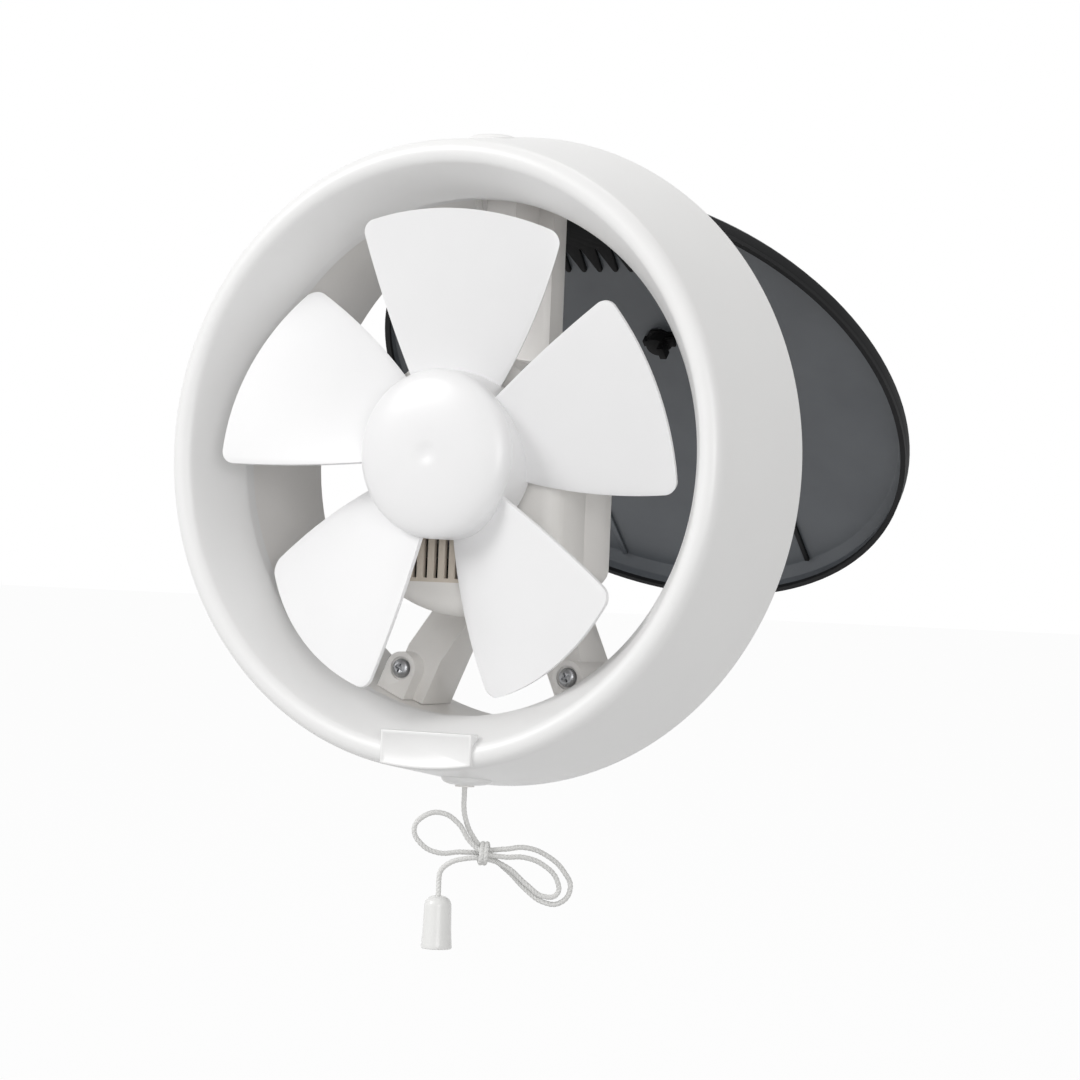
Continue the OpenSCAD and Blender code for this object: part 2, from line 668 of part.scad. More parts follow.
// A point of a blade at a radius, across its width from rear edge to leading edge, on either face
function blade_point(r, u, side) = let(
    t = (r - root_r) / (blade_r - root_r),
    trim = corner_cut(r) / r * 180 / PI,
    a_low = mix(blade_a0_root, blade_a0_tip, t), a_high = mix(blade_a1_root, blade_a1_tip, t),
    a = mix(a_low + trim, a_high - trim, u), w = (a - a_low) / (a_high - a_low),
    y = mix(mix(rear_edge_root, rear_edge_tip, t), mix(lead_edge_root, lead_edge_tip, t), w)
        - blade_camber * 4 * w * (1 - w) * t,
    half = blade_t / 2 * (0.55 + 0.45 * sin(180 * u)))
    [r * cos(a), y + side * half, r * sin(a)];
module blade() {
    rows = len(blade_radii);
    cols = width_steps + 1;
    grid = rows * cols;
    points = [for (side = [-1, 1]) for (i = [0:rows - 1]) for (j = [0:width_steps])
        blade_point(blade_radii[i], j / width_steps, side)];
    faces_front = [for (i = [0:rows - 2]) for (j = [0:width_steps - 1]) let(a = i * cols + j)
        each [[a, a + cols + 1, a + cols], [a, a + 1, a + cols + 1]]];
    faces_rear = [for (i = [0:rows - 2]) for (j = [0:width_steps - 1]) let(a = grid + i * cols + j)
        each [[a, a + cols, a + cols + 1], [a, a + cols + 1, a + 1]]];
    sides_radial = [for (i = [0:rows - 2]) for (j = [0, width_steps]) let(a = i * cols + j, b = a + cols)
        each j == 0 ? [[a, b, b + grid], [a, b + grid, a + grid]]
            : [[a, b + grid, b], [a, a + grid, b + grid]]];
    ends = [for (i = [0, rows - 1]) for (j = [0:width_steps - 1]) let(a = i * cols + j, b = a + 1)
        each i == 0 ? [[a, b + grid, b], [a, a + grid, b + grid]]
            : [[a, b, b + grid], [a, b + grid, a + grid]]];
    polyhedron(points, concat(faces_front, faces_rear, sides_radial, ends));
}
module fan_blades() {
    color(shell_white) union() {
        difference() {
            union() {
                turned() polygon([[hub_r - hub_wall, hub_back], [hub_r, hub_back], [hub_r, hub_front],
                    [0, hub_front], [0, hub_front + hub_wall], [hub_r - hub_wall, hub_front + hub_wall]]);
                bar_y(9, hub_front + hub_wall / 2, hub_back);
            }
            bar_y(shaft_r, hub_front - 1, hub_back + 1);
            bar_x(pin_r, -10, 10, pin_y, 0);
        }
        for (i = [0:blade_count - 1]) rotate([0, -360 / blade_count * i, 0]) blade();
    }
}
module drive_pin() { color(steel) bar_x(pin_r, -8.8, 8.8, pin_y, 0); }
washer_t = 1;
module hub_washer() {
    color(steel) turned(64) polygon([[shaft_r + shaft_gap, hub_back], [shaft_r + 4, hub_back],
        [shaft_r + 4, hub_back + washer_t], [shaft_r + shaft_gap, hub_back + washer_t]]);
}
function dome(d) = [for (t = [0:9:90])
    [(hub_r - d) * (cos(t) < 0.001 ? 0 : pow(cos(t), 0.75)), hub_front - (dome_h - d) * pow(sin(t), 0.8)]];
module spinner() {
    color(shell_white) difference() {
        union() {
            turned() polygon(concat(dome(0), turned_back(dome(hub_wall))));
            bar_y(7, hub_front - dome_h + hub_wall / 2, hub_front);
        }
        bar_y(shaft_r, shaft_front - 0.3, hub_front + 1);
    }
}

// The shutter is drawn closed and then turned about its hinge
rim_y = hinge_y - hinge_back;
floor_y = rim_y + shutter_depth - shutter_wall;
lug_in = 15;
lug_out = ear_in - 0.4;
module opened() {
    translate([0, hinge_y, hinge_z]) rotate([open_angle, 0, 0]) translate([0, -hinge_y, -hinge_z]) children();
}
module shutter_disc() {
    color(slate) opened() difference() {
        union() {
            turned() polygon([[0, floor_y], [shutter_r - shutter_wall - 4, floor_y],
                [shutter_r - shutter_wall, floor_y - 4], [shutter_r - shutter_wall, rim_y + seal_t],
                [shutter_r, rim_y + seal_t], [shutter_r, floor_y - 3],
                [shutter_r - 5, floor_y + shutter_wall], [0, floor_y + shutter_wall]]);
            for (s = [-1, 1]) {
                x0 = s > 0 ? lug_in : -lug_out;
                x1 = s > 0 ? lug_out : -lug_in;
                bar_x(knuckle_r, x0, x1, hinge_y, hinge_z);
                block([x0, floor_y + shutter_wall / 2, hinge_z - 12], [x1, hinge_y + 1, hinge_z]);
            }
        }
        bar_x(hinge_pin_r + 0.05, -ear_out, ear_out, hinge_y, hinge_z);
    }
}
module shutter_seal() {
    color(black) opened() turned() polygon([[shutter_r - shutter_wall - 0.3, rim_y], [shutter_r, rim_y],
        [shutter_r, rim_y + seal_t], [shutter_r - shutter_wall - 0.3, rim_y + seal_t]]);
}
strip_x = 47;
strip_half_w = 1.1;
strip_h = 1.5;
strip_z0 = -107;
strip_z1 = -78;
module shutter_strips() {
    color(black) opened() for (s = [-1, 1])
        block([s * strip_x - strip_half_w, floor_y - strip_h, strip_z0],
            [s * strip_x + strip_half_w, floor_y, strip_z1]);
}
finger_count = 9;
finger_pitch = 7.7;
finger_l = 12.3;
finger_root_z = hinge_z - 40.4;
hinge_plate_half_w = 38;
hinge_plate_h = 24;
hinge_plate_t = 1.6;
module hinge_plate() {
    color(black) opened() {
        block([-hinge_plate_half_w, floor_y - hinge_plate_t, finger_root_z],
            [hinge_plate_half_w, floor_y, finger_root_z + hinge_plate_h]);
        for (i = [0:finger_count - 1]) translate([(i - (finger_count - 1) / 2) * finger_pitch, 0, 0]) hull() {
            block([-3.5, floor_y - hinge_plate_t, finger_root_z], [3.5, floor_y, finger_root_z + 1]);
            translate([1.5, floor_y, finger_root_z - finger_l]) rotate([90, 0, 0])
                cylinder(h = hinge_plate_t, r = 1.2, $fn = 24);
        }
    }
}
module hinge_pin() { color(steel) bar_x(hinge_pin_r, -ear_out - 1, ear_out + 1, hinge_y, hinge_z); }

// Two torsion springs on the pin: one leg is in the bridge's hole, the other is behind the open shutter
torsion_r = 2.6;
torsion_wire_r = 0.45;
torsion_turns = 6;
torsion_x0 = 4;
torsion_pitch = 1.5;
torsion_leg = 8;
torsion_steps = 8 * torsion_turns + 4;
torsion_x1 = torsion_x0 + torsion_pitch * torsion_steps / 8;
function torsion_point(a) = [hinge_y + torsion_r * cos(a), hinge_z + torsion_r * sin(a)];
function torsion_route(s) = concat(
    [[s * torsion_x0, hinge_y + torsion_leg * sin(open_angle) + 0.7 * cos(open_angle),
    hinge_z - torsion_leg * cos(open_angle) + 0.7 * sin(open_angle)]],
    [for (i = [0:torsion_steps]) let(p = torsion_point(i == torsion_steps ? 180 : 45 * i + open_angle))
        [s * (torsion_x0 + torsion_pitch * i / 8), p[0], p[1]]],
    [[s * torsion_x1, hinge_y - torsion_r, arm_z0], [s * torsion_x1, hinge_y - torsion_r, arm_z1]]);
module hinge_springs() {
    color(steel) for (s = [-1, 1]) tube(torsion_route(s), torsion_wire_r, 6, [1, 0, 0]);
}
// The catch's tongue goes between the latch's two prongs when the shutter is closed
prong_w = 3.2;
prong_y = floor_y - 7.2;
prong_h = 8;
latch_t = 2;
latch_half_h = 6;
latch_x0 = column_half_w + 0.5;
latch_x1 = catch_x + 6.5;
drum_r = 4.8;
drum_base_r = 6;
drum_x = catch_x - 4;
tongue_h = 6;
tongue_l = 3;
hook_t = 1.5;
module shutter_clip() {
    color(black) opened() {
        bar_y(drum_r, prong_y + 1.2, floor_y, drum_x, catch_z);
        block([drum_x, prong_y + 2.2, catch_z - 2], [catch_x + tongue_w / 2, floor_y, catch_z + 2]);
        block([drum_x - drum_r - 2.5, floor_y - 3.5, catch_z - 1.5], [drum_x, floor_y, catch_z + 1.5]);
        block([catch_x - tongue_w / 2, prong_y - tongue_l, catch_z - tongue_h / 2],
            [catch_x + tongue_w / 2, prong_y + 1.3, catch_z + tongue_h / 2]);
        bar_y(drum_base_r, floor_y - 1.6, floor_y, drum_x, catch_z);
        block([drum_x, floor_y - 1.6, catch_z - 1], [catch_x + 5, floor_y, catch_z + 4]);
        block([catch_x, floor_y - 2.8 - hook_t, catch_z - 1], [catch_x + 4.5, floor_y - 2.8, catch_z + 3.5]);
    }
}
module shutter_latch() {
    color(black) {
        block([latch_x0, case_back, catch_z - latch_half_h],
            [latch_x1, case_back + latch_t, catch_z + latch_half_h]);
        for (s = [-1, 1]) {
            mid = s * (tongue_w / 2 + tongue_gap + prong_w / 2);
            block([catch_x + mid - prong_w / 2, case_back + 1, catch_z - prong_h / 2],
                [catch_x + mid + prong_w / 2, prong_y, catch_z + prong_h / 2]);
        }
    }
}

// Pull switch between the ring and the duct, above the cord's bush
box_half_y = 6;
box_top = -(duct_out + 0.8);
box_low = -(skirt_at(-cord_front) - ring_wall - 1.5);
box_wall = 1.2;
cam_x = 5.6;
module switch_housing() {
    color([0.9, 0.9, 0.88]) difference() {
        block([-box_x0, -cord_front - box_half_y, box_low], [box_x1, -cord_front + box_half_y, box_top]);
        block([-box_x0 + box_wall, -cord_front - box_half_y + box_wall, box_low + box_wall],
            [box_x1 - box_wall, -cord_front + box_half_y - box_wall, box_top - box_wall]);
        bar_z(cord_d / 2 + 0.3, box_low - 1, box_low + box_wall + 1, 0, -cord_front);
        bar_y(cam_pin_r, -cord_front - box_half_y - 1, -cord_front + box_half_y + 1, cam_x, cam_z);
    }
}
cam_z = box_top - 6;
cam_r = 2.8;
cam_pin_r = 0.8;
module switch_cam() {
    color([0.85, 0.3, 0.2]) difference() {
        union() {
            bar_y(cam_r * 0.75, -cord_front - 3, -cord_front + 3, cam_x, cam_z);
            for (a = [0:90:270]) translate([cam_x, 0, cam_z]) rotate([0, a, 0])
                block([-0.6, -cord_front - 2, 0], [0.6, -cord_front + 2, cam_r]);
        }
        bar_y(cam_pin_r + 0.05, -cord_front - 4, -cord_front + 4, cam_x, cam_z);
    }
}
module cam_pin() {
    color(steel) bar_y(cam_pin_r, -cord_front - box_half_y, -cord_front + box_half_y, cam_x, cam_z);
}
slider_r = 2.4;
slider_z1 = box_top - box_wall - 0.3;
slider_z0 = slider_z1 - 2;
module cord_slider() {
    color([0.2, 0.4, 0.7]) difference() {
        union() {
            bar_z(slider_r, slider_z0, slider_z1, 0, -cord_front);
            bar_z(cord_d / 2 + 0.3, slider_z0 - 2, slider_z1, 0, -cord_front);
        }
        bar_z(cord_d / 2, slider_z0 - 3, slider_z1 - 0.8, 0, -cord_front);
    }
}
spring_r = 2;
spring_wire_r = 0.3;
spring_turns = 4;
spring_z0 = box_low + box_wall + spring_wire_r;
spring_z1 = slider_z0 - spring_wire_r;
spring_route = [for (i = [0:8 * spring_turns]) [spring_r * cos(45 * i), -cord_front + spring_r * sin(45 * i),
    mix(spring_z0, spring_z1, i / (8 * spring_turns))]];
module return_spring() { color(steel) tube(spring_route, spring_wire_r, 6, [0, 0, 1]); }
module cord_bush() {
    color(shell_white) difference() {
        union() {
            bar_z(bush_hole_r, -pad_h, box_low, 0, -cord_front);
            bar_z(bush_hole_r + 1, -pad_h - bush_head_h, -pad_h, 0, -cord_front);
        }
        bar_z(cord_d / 2 + 0.1, -pad_h - 2, box_low + 1, 0, -cord_front);
    }
}
module cord_inner() { color(shell_white) bar_z(cord_d / 2, cord_exit_z, slider_z1 - 0.8, 0, -cord_front); }

// The cord's route: along the bow's plane, away from the room, and up from where it leaves the bush
cord_route = [[0, 0, 0], [0, 0, -3], [0, 0, -7], [1, 0, -12.5], [4, 0, -19], [9, 0, -24], [17, 0, -24],
    [26, 0, -23], [35, 0, -26], [42, 0, -32], [45, 0, -39], [41, 0, -45], [34, 1, -45],
    [27, 2, -40.5], [19, 2.5, -33], [10, 2.6, -27], [0, 2, -26], [-10, 0.5, -26.5], [-17, -0.5, -23],
    [-20, -1, -17], [-16, -2, -11.5],
    [-9, -2.2, -10], [-2, -2.4, -14], [3, -2.6, -21], [9, -2.6, -25.5], [17, -2, -27], [26, -1.2, -27],
    [34, -1, -30], [39.5, -1, -36], [39.5, -1, -41.5], [34, -1, -42.5], [27, -0.8, -38], [19, -0.4, -31.5],
    [10, 0, -28.3], [1, -0.8, -28.5], [-5, -1, -30.5],
    [-8.5, -1, -34], [-9, -1, -37], [-9, -1, -40.5], [-9, -1, -44]];
function bow_place(p) = [p[0] * cos(bow_turn) - p[1] * sin(bow_turn),
    -cord_front + p[0] * sin(bow_turn) + p[1] * cos(bow_turn), cord_exit_z + p[2]];
cord_path = with_end([for (p = cord_route) bow_place(p)]);
module pull_cord() { color([0.97, 0.97, 0.97]) tube(cord_path, cord_d / 2, 8, [0, 1, 0]); }
knot_at = bow_place([9, 0, -26]);
knot_r = 5.4;
module cord_knot() {
    color([0.97, 0.97, 0.97]) translate(knot_at) rotate([0, 0, bow_turn])
        for (x = [-1.1, 1.1]) translate([x, 0, 0]) rotate([0, 90, 0]) rotate_extrude($fn = 48)
            translate([knot_r, 0]) circle(r = cord_d / 2, $fn = 24);
}
knob_at = bow_place([-9, -1, -44]);
module cord_knob() {
    color(shell_white) translate(knob_at) rotate_extrude($fn = 64) polygon(concat([[0, 0]],
        [for (t = [0:15:90]) [1.6 + (knob_r - 2.4) * sin(t), -(knob_r - 2.4) * (1 - cos(t))]],
        [[knob_r - 0.15, -knob_h + 2], [knob_r, -knob_h + 0.8], [knob_r - 0.8, -knob_h], [0, -knob_h]]));
}

cord_length = [for (i = 1, s = 0; i < len(cord_path) + 1; s = s + norm(cord_path[min(i, len(cord_path) - 1)]
    - cord_path[i - 1]), i = i + 1) s];
echo(cord_length = cord_length[len(cord_length) - 1], rings = len(cord_path));
echo(knob_low = knob_at[2] - knob_h, duct_r = duct_r, flange_r = flange_r, box_low = box_low);

front_ring();
nameplate();
duct_body();
wall_gasket();
rear_ring();
ring_screws();
motor_bracket();
bracket_screws();
motor_cover();
case_screws();
stator_core();
stator_coils();
stator_screws();
rotor_core();
motor_shaft();
front_bearing();
rear_bearing();
run_capacitor();
terminal_block();
wiring_lead();
fan_blades();
drive_pin();
hub_washer();
spinner();
shutter_disc();
shutter_seal();
shutter_strips();
hinge_plate();
hinge_pin();
hinge_springs();
shutter_clip();
shutter_latch();
switch_housing();
switch_cam();
cam_pin();
cord_slider();
return_spring();
cord_bush();
cord_inner();
pull_cord();
cord_knot();
cord_knob();
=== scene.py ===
import math
import bpy
from mathutils import Matrix, Vector


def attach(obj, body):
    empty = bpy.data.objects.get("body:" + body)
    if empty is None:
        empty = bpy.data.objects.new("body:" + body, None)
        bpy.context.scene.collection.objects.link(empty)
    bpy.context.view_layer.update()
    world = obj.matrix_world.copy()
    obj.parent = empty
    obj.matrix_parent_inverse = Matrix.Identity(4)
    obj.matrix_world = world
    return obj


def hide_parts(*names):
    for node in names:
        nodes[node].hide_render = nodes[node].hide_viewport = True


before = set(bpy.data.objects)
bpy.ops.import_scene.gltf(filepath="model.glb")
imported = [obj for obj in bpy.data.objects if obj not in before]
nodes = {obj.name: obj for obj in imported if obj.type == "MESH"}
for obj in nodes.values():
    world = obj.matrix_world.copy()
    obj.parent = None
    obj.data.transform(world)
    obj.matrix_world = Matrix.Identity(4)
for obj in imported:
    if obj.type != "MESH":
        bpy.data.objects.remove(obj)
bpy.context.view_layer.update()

mm = 0.001
mergeDistance = 0.002 * mm
print("frame loaded,", len(nodes), "nodes")


# camera at the photograph's angle, nearly level with the fan and to its right
cameraView = {"azimuth": 28.9, "elevation": -1.79, "roll": 2.34, "distance": 1.5, "lens": 119.7, "sensor": 36,
              "shiftX": 0.0323, "shiftY": -0.0737, "farthest": 50}


def aimCamera(view):
    az, el, roll = (math.radians(view[k]) for k in ("azimuth", "elevation", "roll"))
    back = Vector((math.sin(az) * math.cos(el), -math.cos(az) * math.cos(el), math.sin(el)))
    levelRight = Vector((math.cos(az), math.sin(az), 0))
    levelUp = back.cross(levelRight)
    right = levelRight * math.cos(roll) + levelUp * math.sin(roll)
    up = levelUp * math.cos(roll) - levelRight * math.sin(roll)
    bpy.ops.object.camera_add()
    camera = bpy.context.object
    camera.name = "viewCamera"
    turn = Matrix((right, up, back)).transposed().to_4x4()
    camera.matrix_world = Matrix.Translation(back * view["distance"]) @ turn
    camera.data.lens = view["lens"]
    camera.data.sensor_width = view["sensor"]
    camera.data.shift_x = view["shiftX"]
    camera.data.shift_y = view["shiftY"]
    camera.data.clip_end = view["farthest"]
    bpy.context.scene.camera = camera


aimCamera(cameraView)
bpy.context.scene.view_settings.view_transform = "Standard"


# small helpers for modelling
def clearSelection():
    if bpy.context.object and bpy.context.object.mode != "OBJECT":
        bpy.ops.object.mode_set(mode="OBJECT")
    bpy.ops.object.select_all(action="DESELECT")


def pick(obj):
    clearSelection()
    obj.select_set(True)
    bpy.context.view_layer.objects.active = obj


def linkNew(name, data):
    obj = bpy.data.objects.new(name, data)
    bpy.context.scene.collection.objects.link(obj)
    return obj


def finishModifier(obj, kind, **settings):
    pick(obj)
    modifier = obj.modifiers.new(kind.title(), kind)
    for key, value in settings.items():
        setattr(modifier, key, value)
    bpy.ops.object.modifier_apply(modifier=modifier.name)


def smoothShade(obj, degrees):
    pick(obj)
    bpy.ops.object.shade_smooth_by_angle(angle=math.radians(degrees))


def placeMesh(obj, matrix):
    obj.data.transform(matrix)
    obj.data.update()


def traceOutline(name, outline):
    # one vertex of a plane is drawn out along the outline, given as (radius, height) in mm, to a closed loop
    clearSelection()
    bpy.ops.mesh.primitive_plane_add(size=mm)
    obj = bpy.context.object
    obj.name = obj.data.name = name
    bpy.ops.object.mode_set(mode="EDIT")
    bpy.ops.mesh.merge(type="CENTER")
    bpy.ops.transform.translate(value=Vector((*outline[0], 0)) * mm)
    for a, b in zip(outline, outline[1:]):
        step = Vector((b[0] - a[0], b[1] - a[1], 0)) * mm
        bpy.ops.mesh.extrude_vertices_move(TRANSFORM_OT_translate={"value": step})
    bpy.ops.mesh.select_all(action="SELECT")
    bpy.ops.mesh.edge_face_add()
    bpy.ops.mesh.delete(type="ONLY_FACE")
    bpy.ops.object.mode_set(mode="OBJECT")
    return obj


def revolve(name, outline, steps):
    # turned about Y, with the outline's height along Y
    obj = traceOutline(name, outline)
    bpy.ops.object.mode_set(mode="EDIT")
    bpy.ops.mesh.select_all(action="SELECT")
    bpy.ops.mesh.spin(steps=steps, angle=math.tau, center=(0, 0, 0), axis=(0, 1, 0))
    bpy.ops.mesh.select_all(action="SELECT")
    bpy.ops.mesh.remove_doubles(threshold=mergeDistance)
    bpy.ops.mesh.delete_loose(use_verts=True, use_edges=True, use_faces=False)  # the edge on the axis
    bpy.ops.mesh.select_all(action="SELECT")
    bpy.ops.mesh.normals_make_consistent(inside=False)
    bpy.ops.object.mode_set(mode="OBJECT")
    return obj


def joinInto(first, others):
    pick(first)
    for other in others:
        other.select_set(True)
    bpy.ops.object.join()


def softenedCopy(nodeName, pieceName, edge, segments):
    # the CAD solid's copy with its doubles merged and its sharp edges rounded off
    mesh = nodes[nodeName].data.copy()
    mesh.name = pieceName
    piece = linkNew(pieceName, mesh)
    pick(piece)
    bpy.ops.object.mode_set(mode="EDIT")
    bpy.ops.mesh.select_all(action="SELECT")
    bpy.ops.mesh.remove_doubles(threshold=mergeDistance)
    bpy.ops.mesh.dissolve_limited(angle_limit=math.radians(0.4))
    bpy.ops.object.mode_set(mode="OBJECT")
    finishModifier(piece, "BEVEL", width=edge * mm, segments=segments, limit_method="ANGLE",
                   angle_limit=math.radians(38), use_clamp_overlap=True)
    smoothShade(piece, 42)
    return piece


def roundTube(name, points, radius, sides, resolution):
    # a smooth round tube through points in mm
    curve = bpy.data.curves.new(name, "CURVE")
    curve.dimensions = "3D"
    spline = curve.splines.new("BEZIER")
    spline.bezier_points.add(len(points) - 1)
    for knot, p in zip(spline.bezier_points, points):
        knot.co = Vector(p) * mm
        knot.handle_left_type = knot.handle_right_type = "AUTO"
    curve.resolution_u = resolution
    curve.bevel_depth = radius * mm
    curve.bevel_resolution = sides
    curve.use_fill_caps = True
    return linkNew(name, curve)


def meshFromCurve(obj):
    pick(obj)
    bpy.ops.object.convert(target="MESH")
    obj = bpy.context.object
    bpy.ops.object.mode_set(mode="EDIT")
    bpy.ops.mesh.select_all(action="SELECT")
    bpy.ops.mesh.remove_doubles(threshold=mergeDistance)
    bpy.ops.mesh.normals_make_consistent(inside=False)
    bpy.ops.object.mode_set(mode="OBJECT")
    smoothShade(obj, 60)
    return obj


# materials: their patterns' sizes are in mm
def srgb(hexText):
    parts = [int(hexText[i:i + 2], 16) / 255 for i in (0, 2, 4)]
    return [c / 12.92 if c <= 0.04045 else ((c + 0.055) / 1.055) ** 2.4 for c in parts] + [1.0]


def setInputs(material, node, inputs):
    # a value is set on its socket, and another node's output is linked to it
    for key, value in inputs.items():
        if isinstance(value, bpy.types.NodeSocket):
            material.node_tree.links.new(value, node.inputs[key])
        else:
            node.inputs[key].default_value = value


def addNode(material, kind, inputs, **settings):
    node = material.node_tree.nodes.new(kind)
    for key, value in settings.items():
        setattr(node, key, value)
    setInputs(material, node, inputs)
    return node


def newMaterial(name, roughness, ior=1.5, metallic=0.0):
    material = bpy.data.materials.new(name)
    material.use_nodes = True
    shader = material.node_tree.nodes["Principled BSDF"]
    setInputs(material, shader, {"Roughness": roughness, "Metallic": metallic})
    if not metallic:
        setInputs(material, shader, {"IOR": ior})
    coords = addNode(material, "ShaderNodeTexCoord", {}).outputs["Object"]
    return material, shader, coords


def moulded(name, main, second, roughness, grain=0.9, relief=0.008, ior=1.53, mottle=70):
    # injection moulded plastic: near even colour, soft gloss, and a faint satin grain from the tool, which is
    # drawn about 1 mm wide, coarser than the real one, so that it shows
    material, shader, coords = newMaterial(name, roughness, ior)
    cloud = addNode(material, "ShaderNodeTexNoise", {"Vector": coords, "Scale": 1000 / mottle, "Detail": 4.0})
    spread = addNode(material, "ShaderNodeMapRange",
                     {"Value": cloud.outputs["Fac"], "From Min": 0.35, "From Max": 0.65})
    colour = addNode(material, "ShaderNodeMix",
                     {0: spread.outputs["Result"], 6: srgb(main), 7: srgb(second)}, data_type="RGBA")
    rubbed = addNode(material, "ShaderNodeTexNoise", {"Vector": coords, "Scale": 1000 / 14, "Detail": 6.0})
    gloss = addNode(material, "ShaderNodeMapRange",
                    {"Value": rubbed.outputs["Fac"], "From Min": 0.3, "From Max": 0.7,
                     "To Min": roughness - 0.02, "To Max": roughness + 0.03})
    fine = addNode(material, "ShaderNodeTexNoise", {"Vector": coords, "Scale": 1000 / grain, "Detail": 2.0})
    bump = addNode(material, "ShaderNodeBump",
                   {"Height": fine.outputs["Fac"], "Strength": 0.4, "Distance": relief * mm})
    setInputs(material, shader, {"Base Color": colour.outputs[2], "Roughness": gloss.outputs["Result"],
                                 "Normal": bump.outputs["Normal"]})
    return material


def metalMaterial(name, main, second, roughness, scratch=0.35):
    # plated or turned metal: fine streaks and patches in its gloss
    material, shader, coords = newMaterial(name, roughness, metallic=1.0)
    stretch = 6
    streak = addNode(material, "ShaderNodeMapping", {"Vector": coords, "Scale": (1, stretch, 1)})
    noise = addNode(material, "ShaderNodeTexNoise",
                    {"Vector": streak.outputs["Vector"], "Scale": 1000 / scratch / stretch, "Detail": 5.0})
    colour = addNode(material, "ShaderNodeMix",
                     {0: noise.outputs["Fac"], 6: srgb(main), 7: srgb(second)}, data_type="RGBA")
    gloss = addNode(material, "ShaderNodeMapRange",
                    {"Value": noise.outputs["Fac"], "To Min": roughness - 0.08, "To Max": roughness + 0.12})
    bump = addNode(material, "ShaderNodeBump",
                   {"Height": noise.outputs["Fac"], "Strength": 0.3, "Distance": 0.01 * mm})
    setInputs(material, shader, {"Base Color": colour.outputs[2], "Roughness": gloss.outputs["Result"],
                                 "Normal": bump.outputs["Normal"]})
    return material


def bandedMetal(name, main, second, roughness, pitch, waves, depth):
    # sheets or wires laid side by side along Y, a pitch apart: the pitch is drawn wider than the real one of
    # 0.3 to 0.5 mm, so that it shows
    material, shader, coords = newMaterial(name, roughness, metallic=1.0)
    wave = addNode(material, "ShaderNodeTexWave",
                   {"Vector": coords, "Scale": 314 / pitch, "Distortion": 0.4, "Detail": 1.0},
                   wave_type=waves, bands_direction="Y", rings_direction="Y")
    colour = addNode(material, "ShaderNodeMix",
                     {0: wave.outputs["Fac"], 6: srgb(main), 7: srgb(second)}, data_type="RGBA")
    bump = addNode(material, "ShaderNodeBump",
                   {"Height": wave.outputs["Fac"], "Strength": 0.8, "Distance": depth * mm})
    setInputs(material, shader, {"Base Color": colour.outputs[2], "Normal": bump.outputs["Normal"]})
    return material


def spongeMaterial(name, main, second, cell):
    # closed-cell foam: small open pores, no gloss
    material, shader, coords = newMaterial(name, 0.92, 1.45)
    cells = addNode(material, "ShaderNodeTexVoronoi", {"Vector": coords, "Scale": 1000 / cell})
    # darker towards each pore's middle: painted shade in the pores
    colour = addNode(material, "ShaderNodeMix",
                     {0: cells.outputs["Distance"], 6: srgb(second), 7: srgb(main)}, data_type="RGBA")
    bump = addNode(material, "ShaderNodeBump",
                   {"Height": cells.outputs["Distance"], "Strength": 0.8, "Distance": 0.2 * mm})
    setInputs(material, shader, {"Base Color": colour.outputs[2], "Normal": bump.outputs["Normal"]})
    return material


def yarnMaterial(name, main, second, fibre):
    # spun polyester yarn: matt, a soft nap, with painted shade that makes it slightly darker between its
    # fibres, which are drawn coarser than the real ones, so that they show
    material, shader, coords = newMaterial(name, 0.8)
    fuzz = addNode(material, "ShaderNodeTexNoise", {"Vector": coords, "Scale": 1000 / fibre, "Detail": 3.0})
    colour = addNode(material, "ShaderNodeMix",
                     {0: fuzz.outputs["Fac"], 6: srgb(second), 7: srgb(main)}, data_type="RGBA")
    bump = addNode(material, "ShaderNodeBump",
                   {"Height": fuzz.outputs["Fac"], "Strength": 0.7, "Distance": 0.12 * mm})
    setInputs(material, shader, {"Base Color": colour.outputs[2], "Normal": bump.outputs["Normal"],
                                 "Sheen Weight": 0.35})
    return material


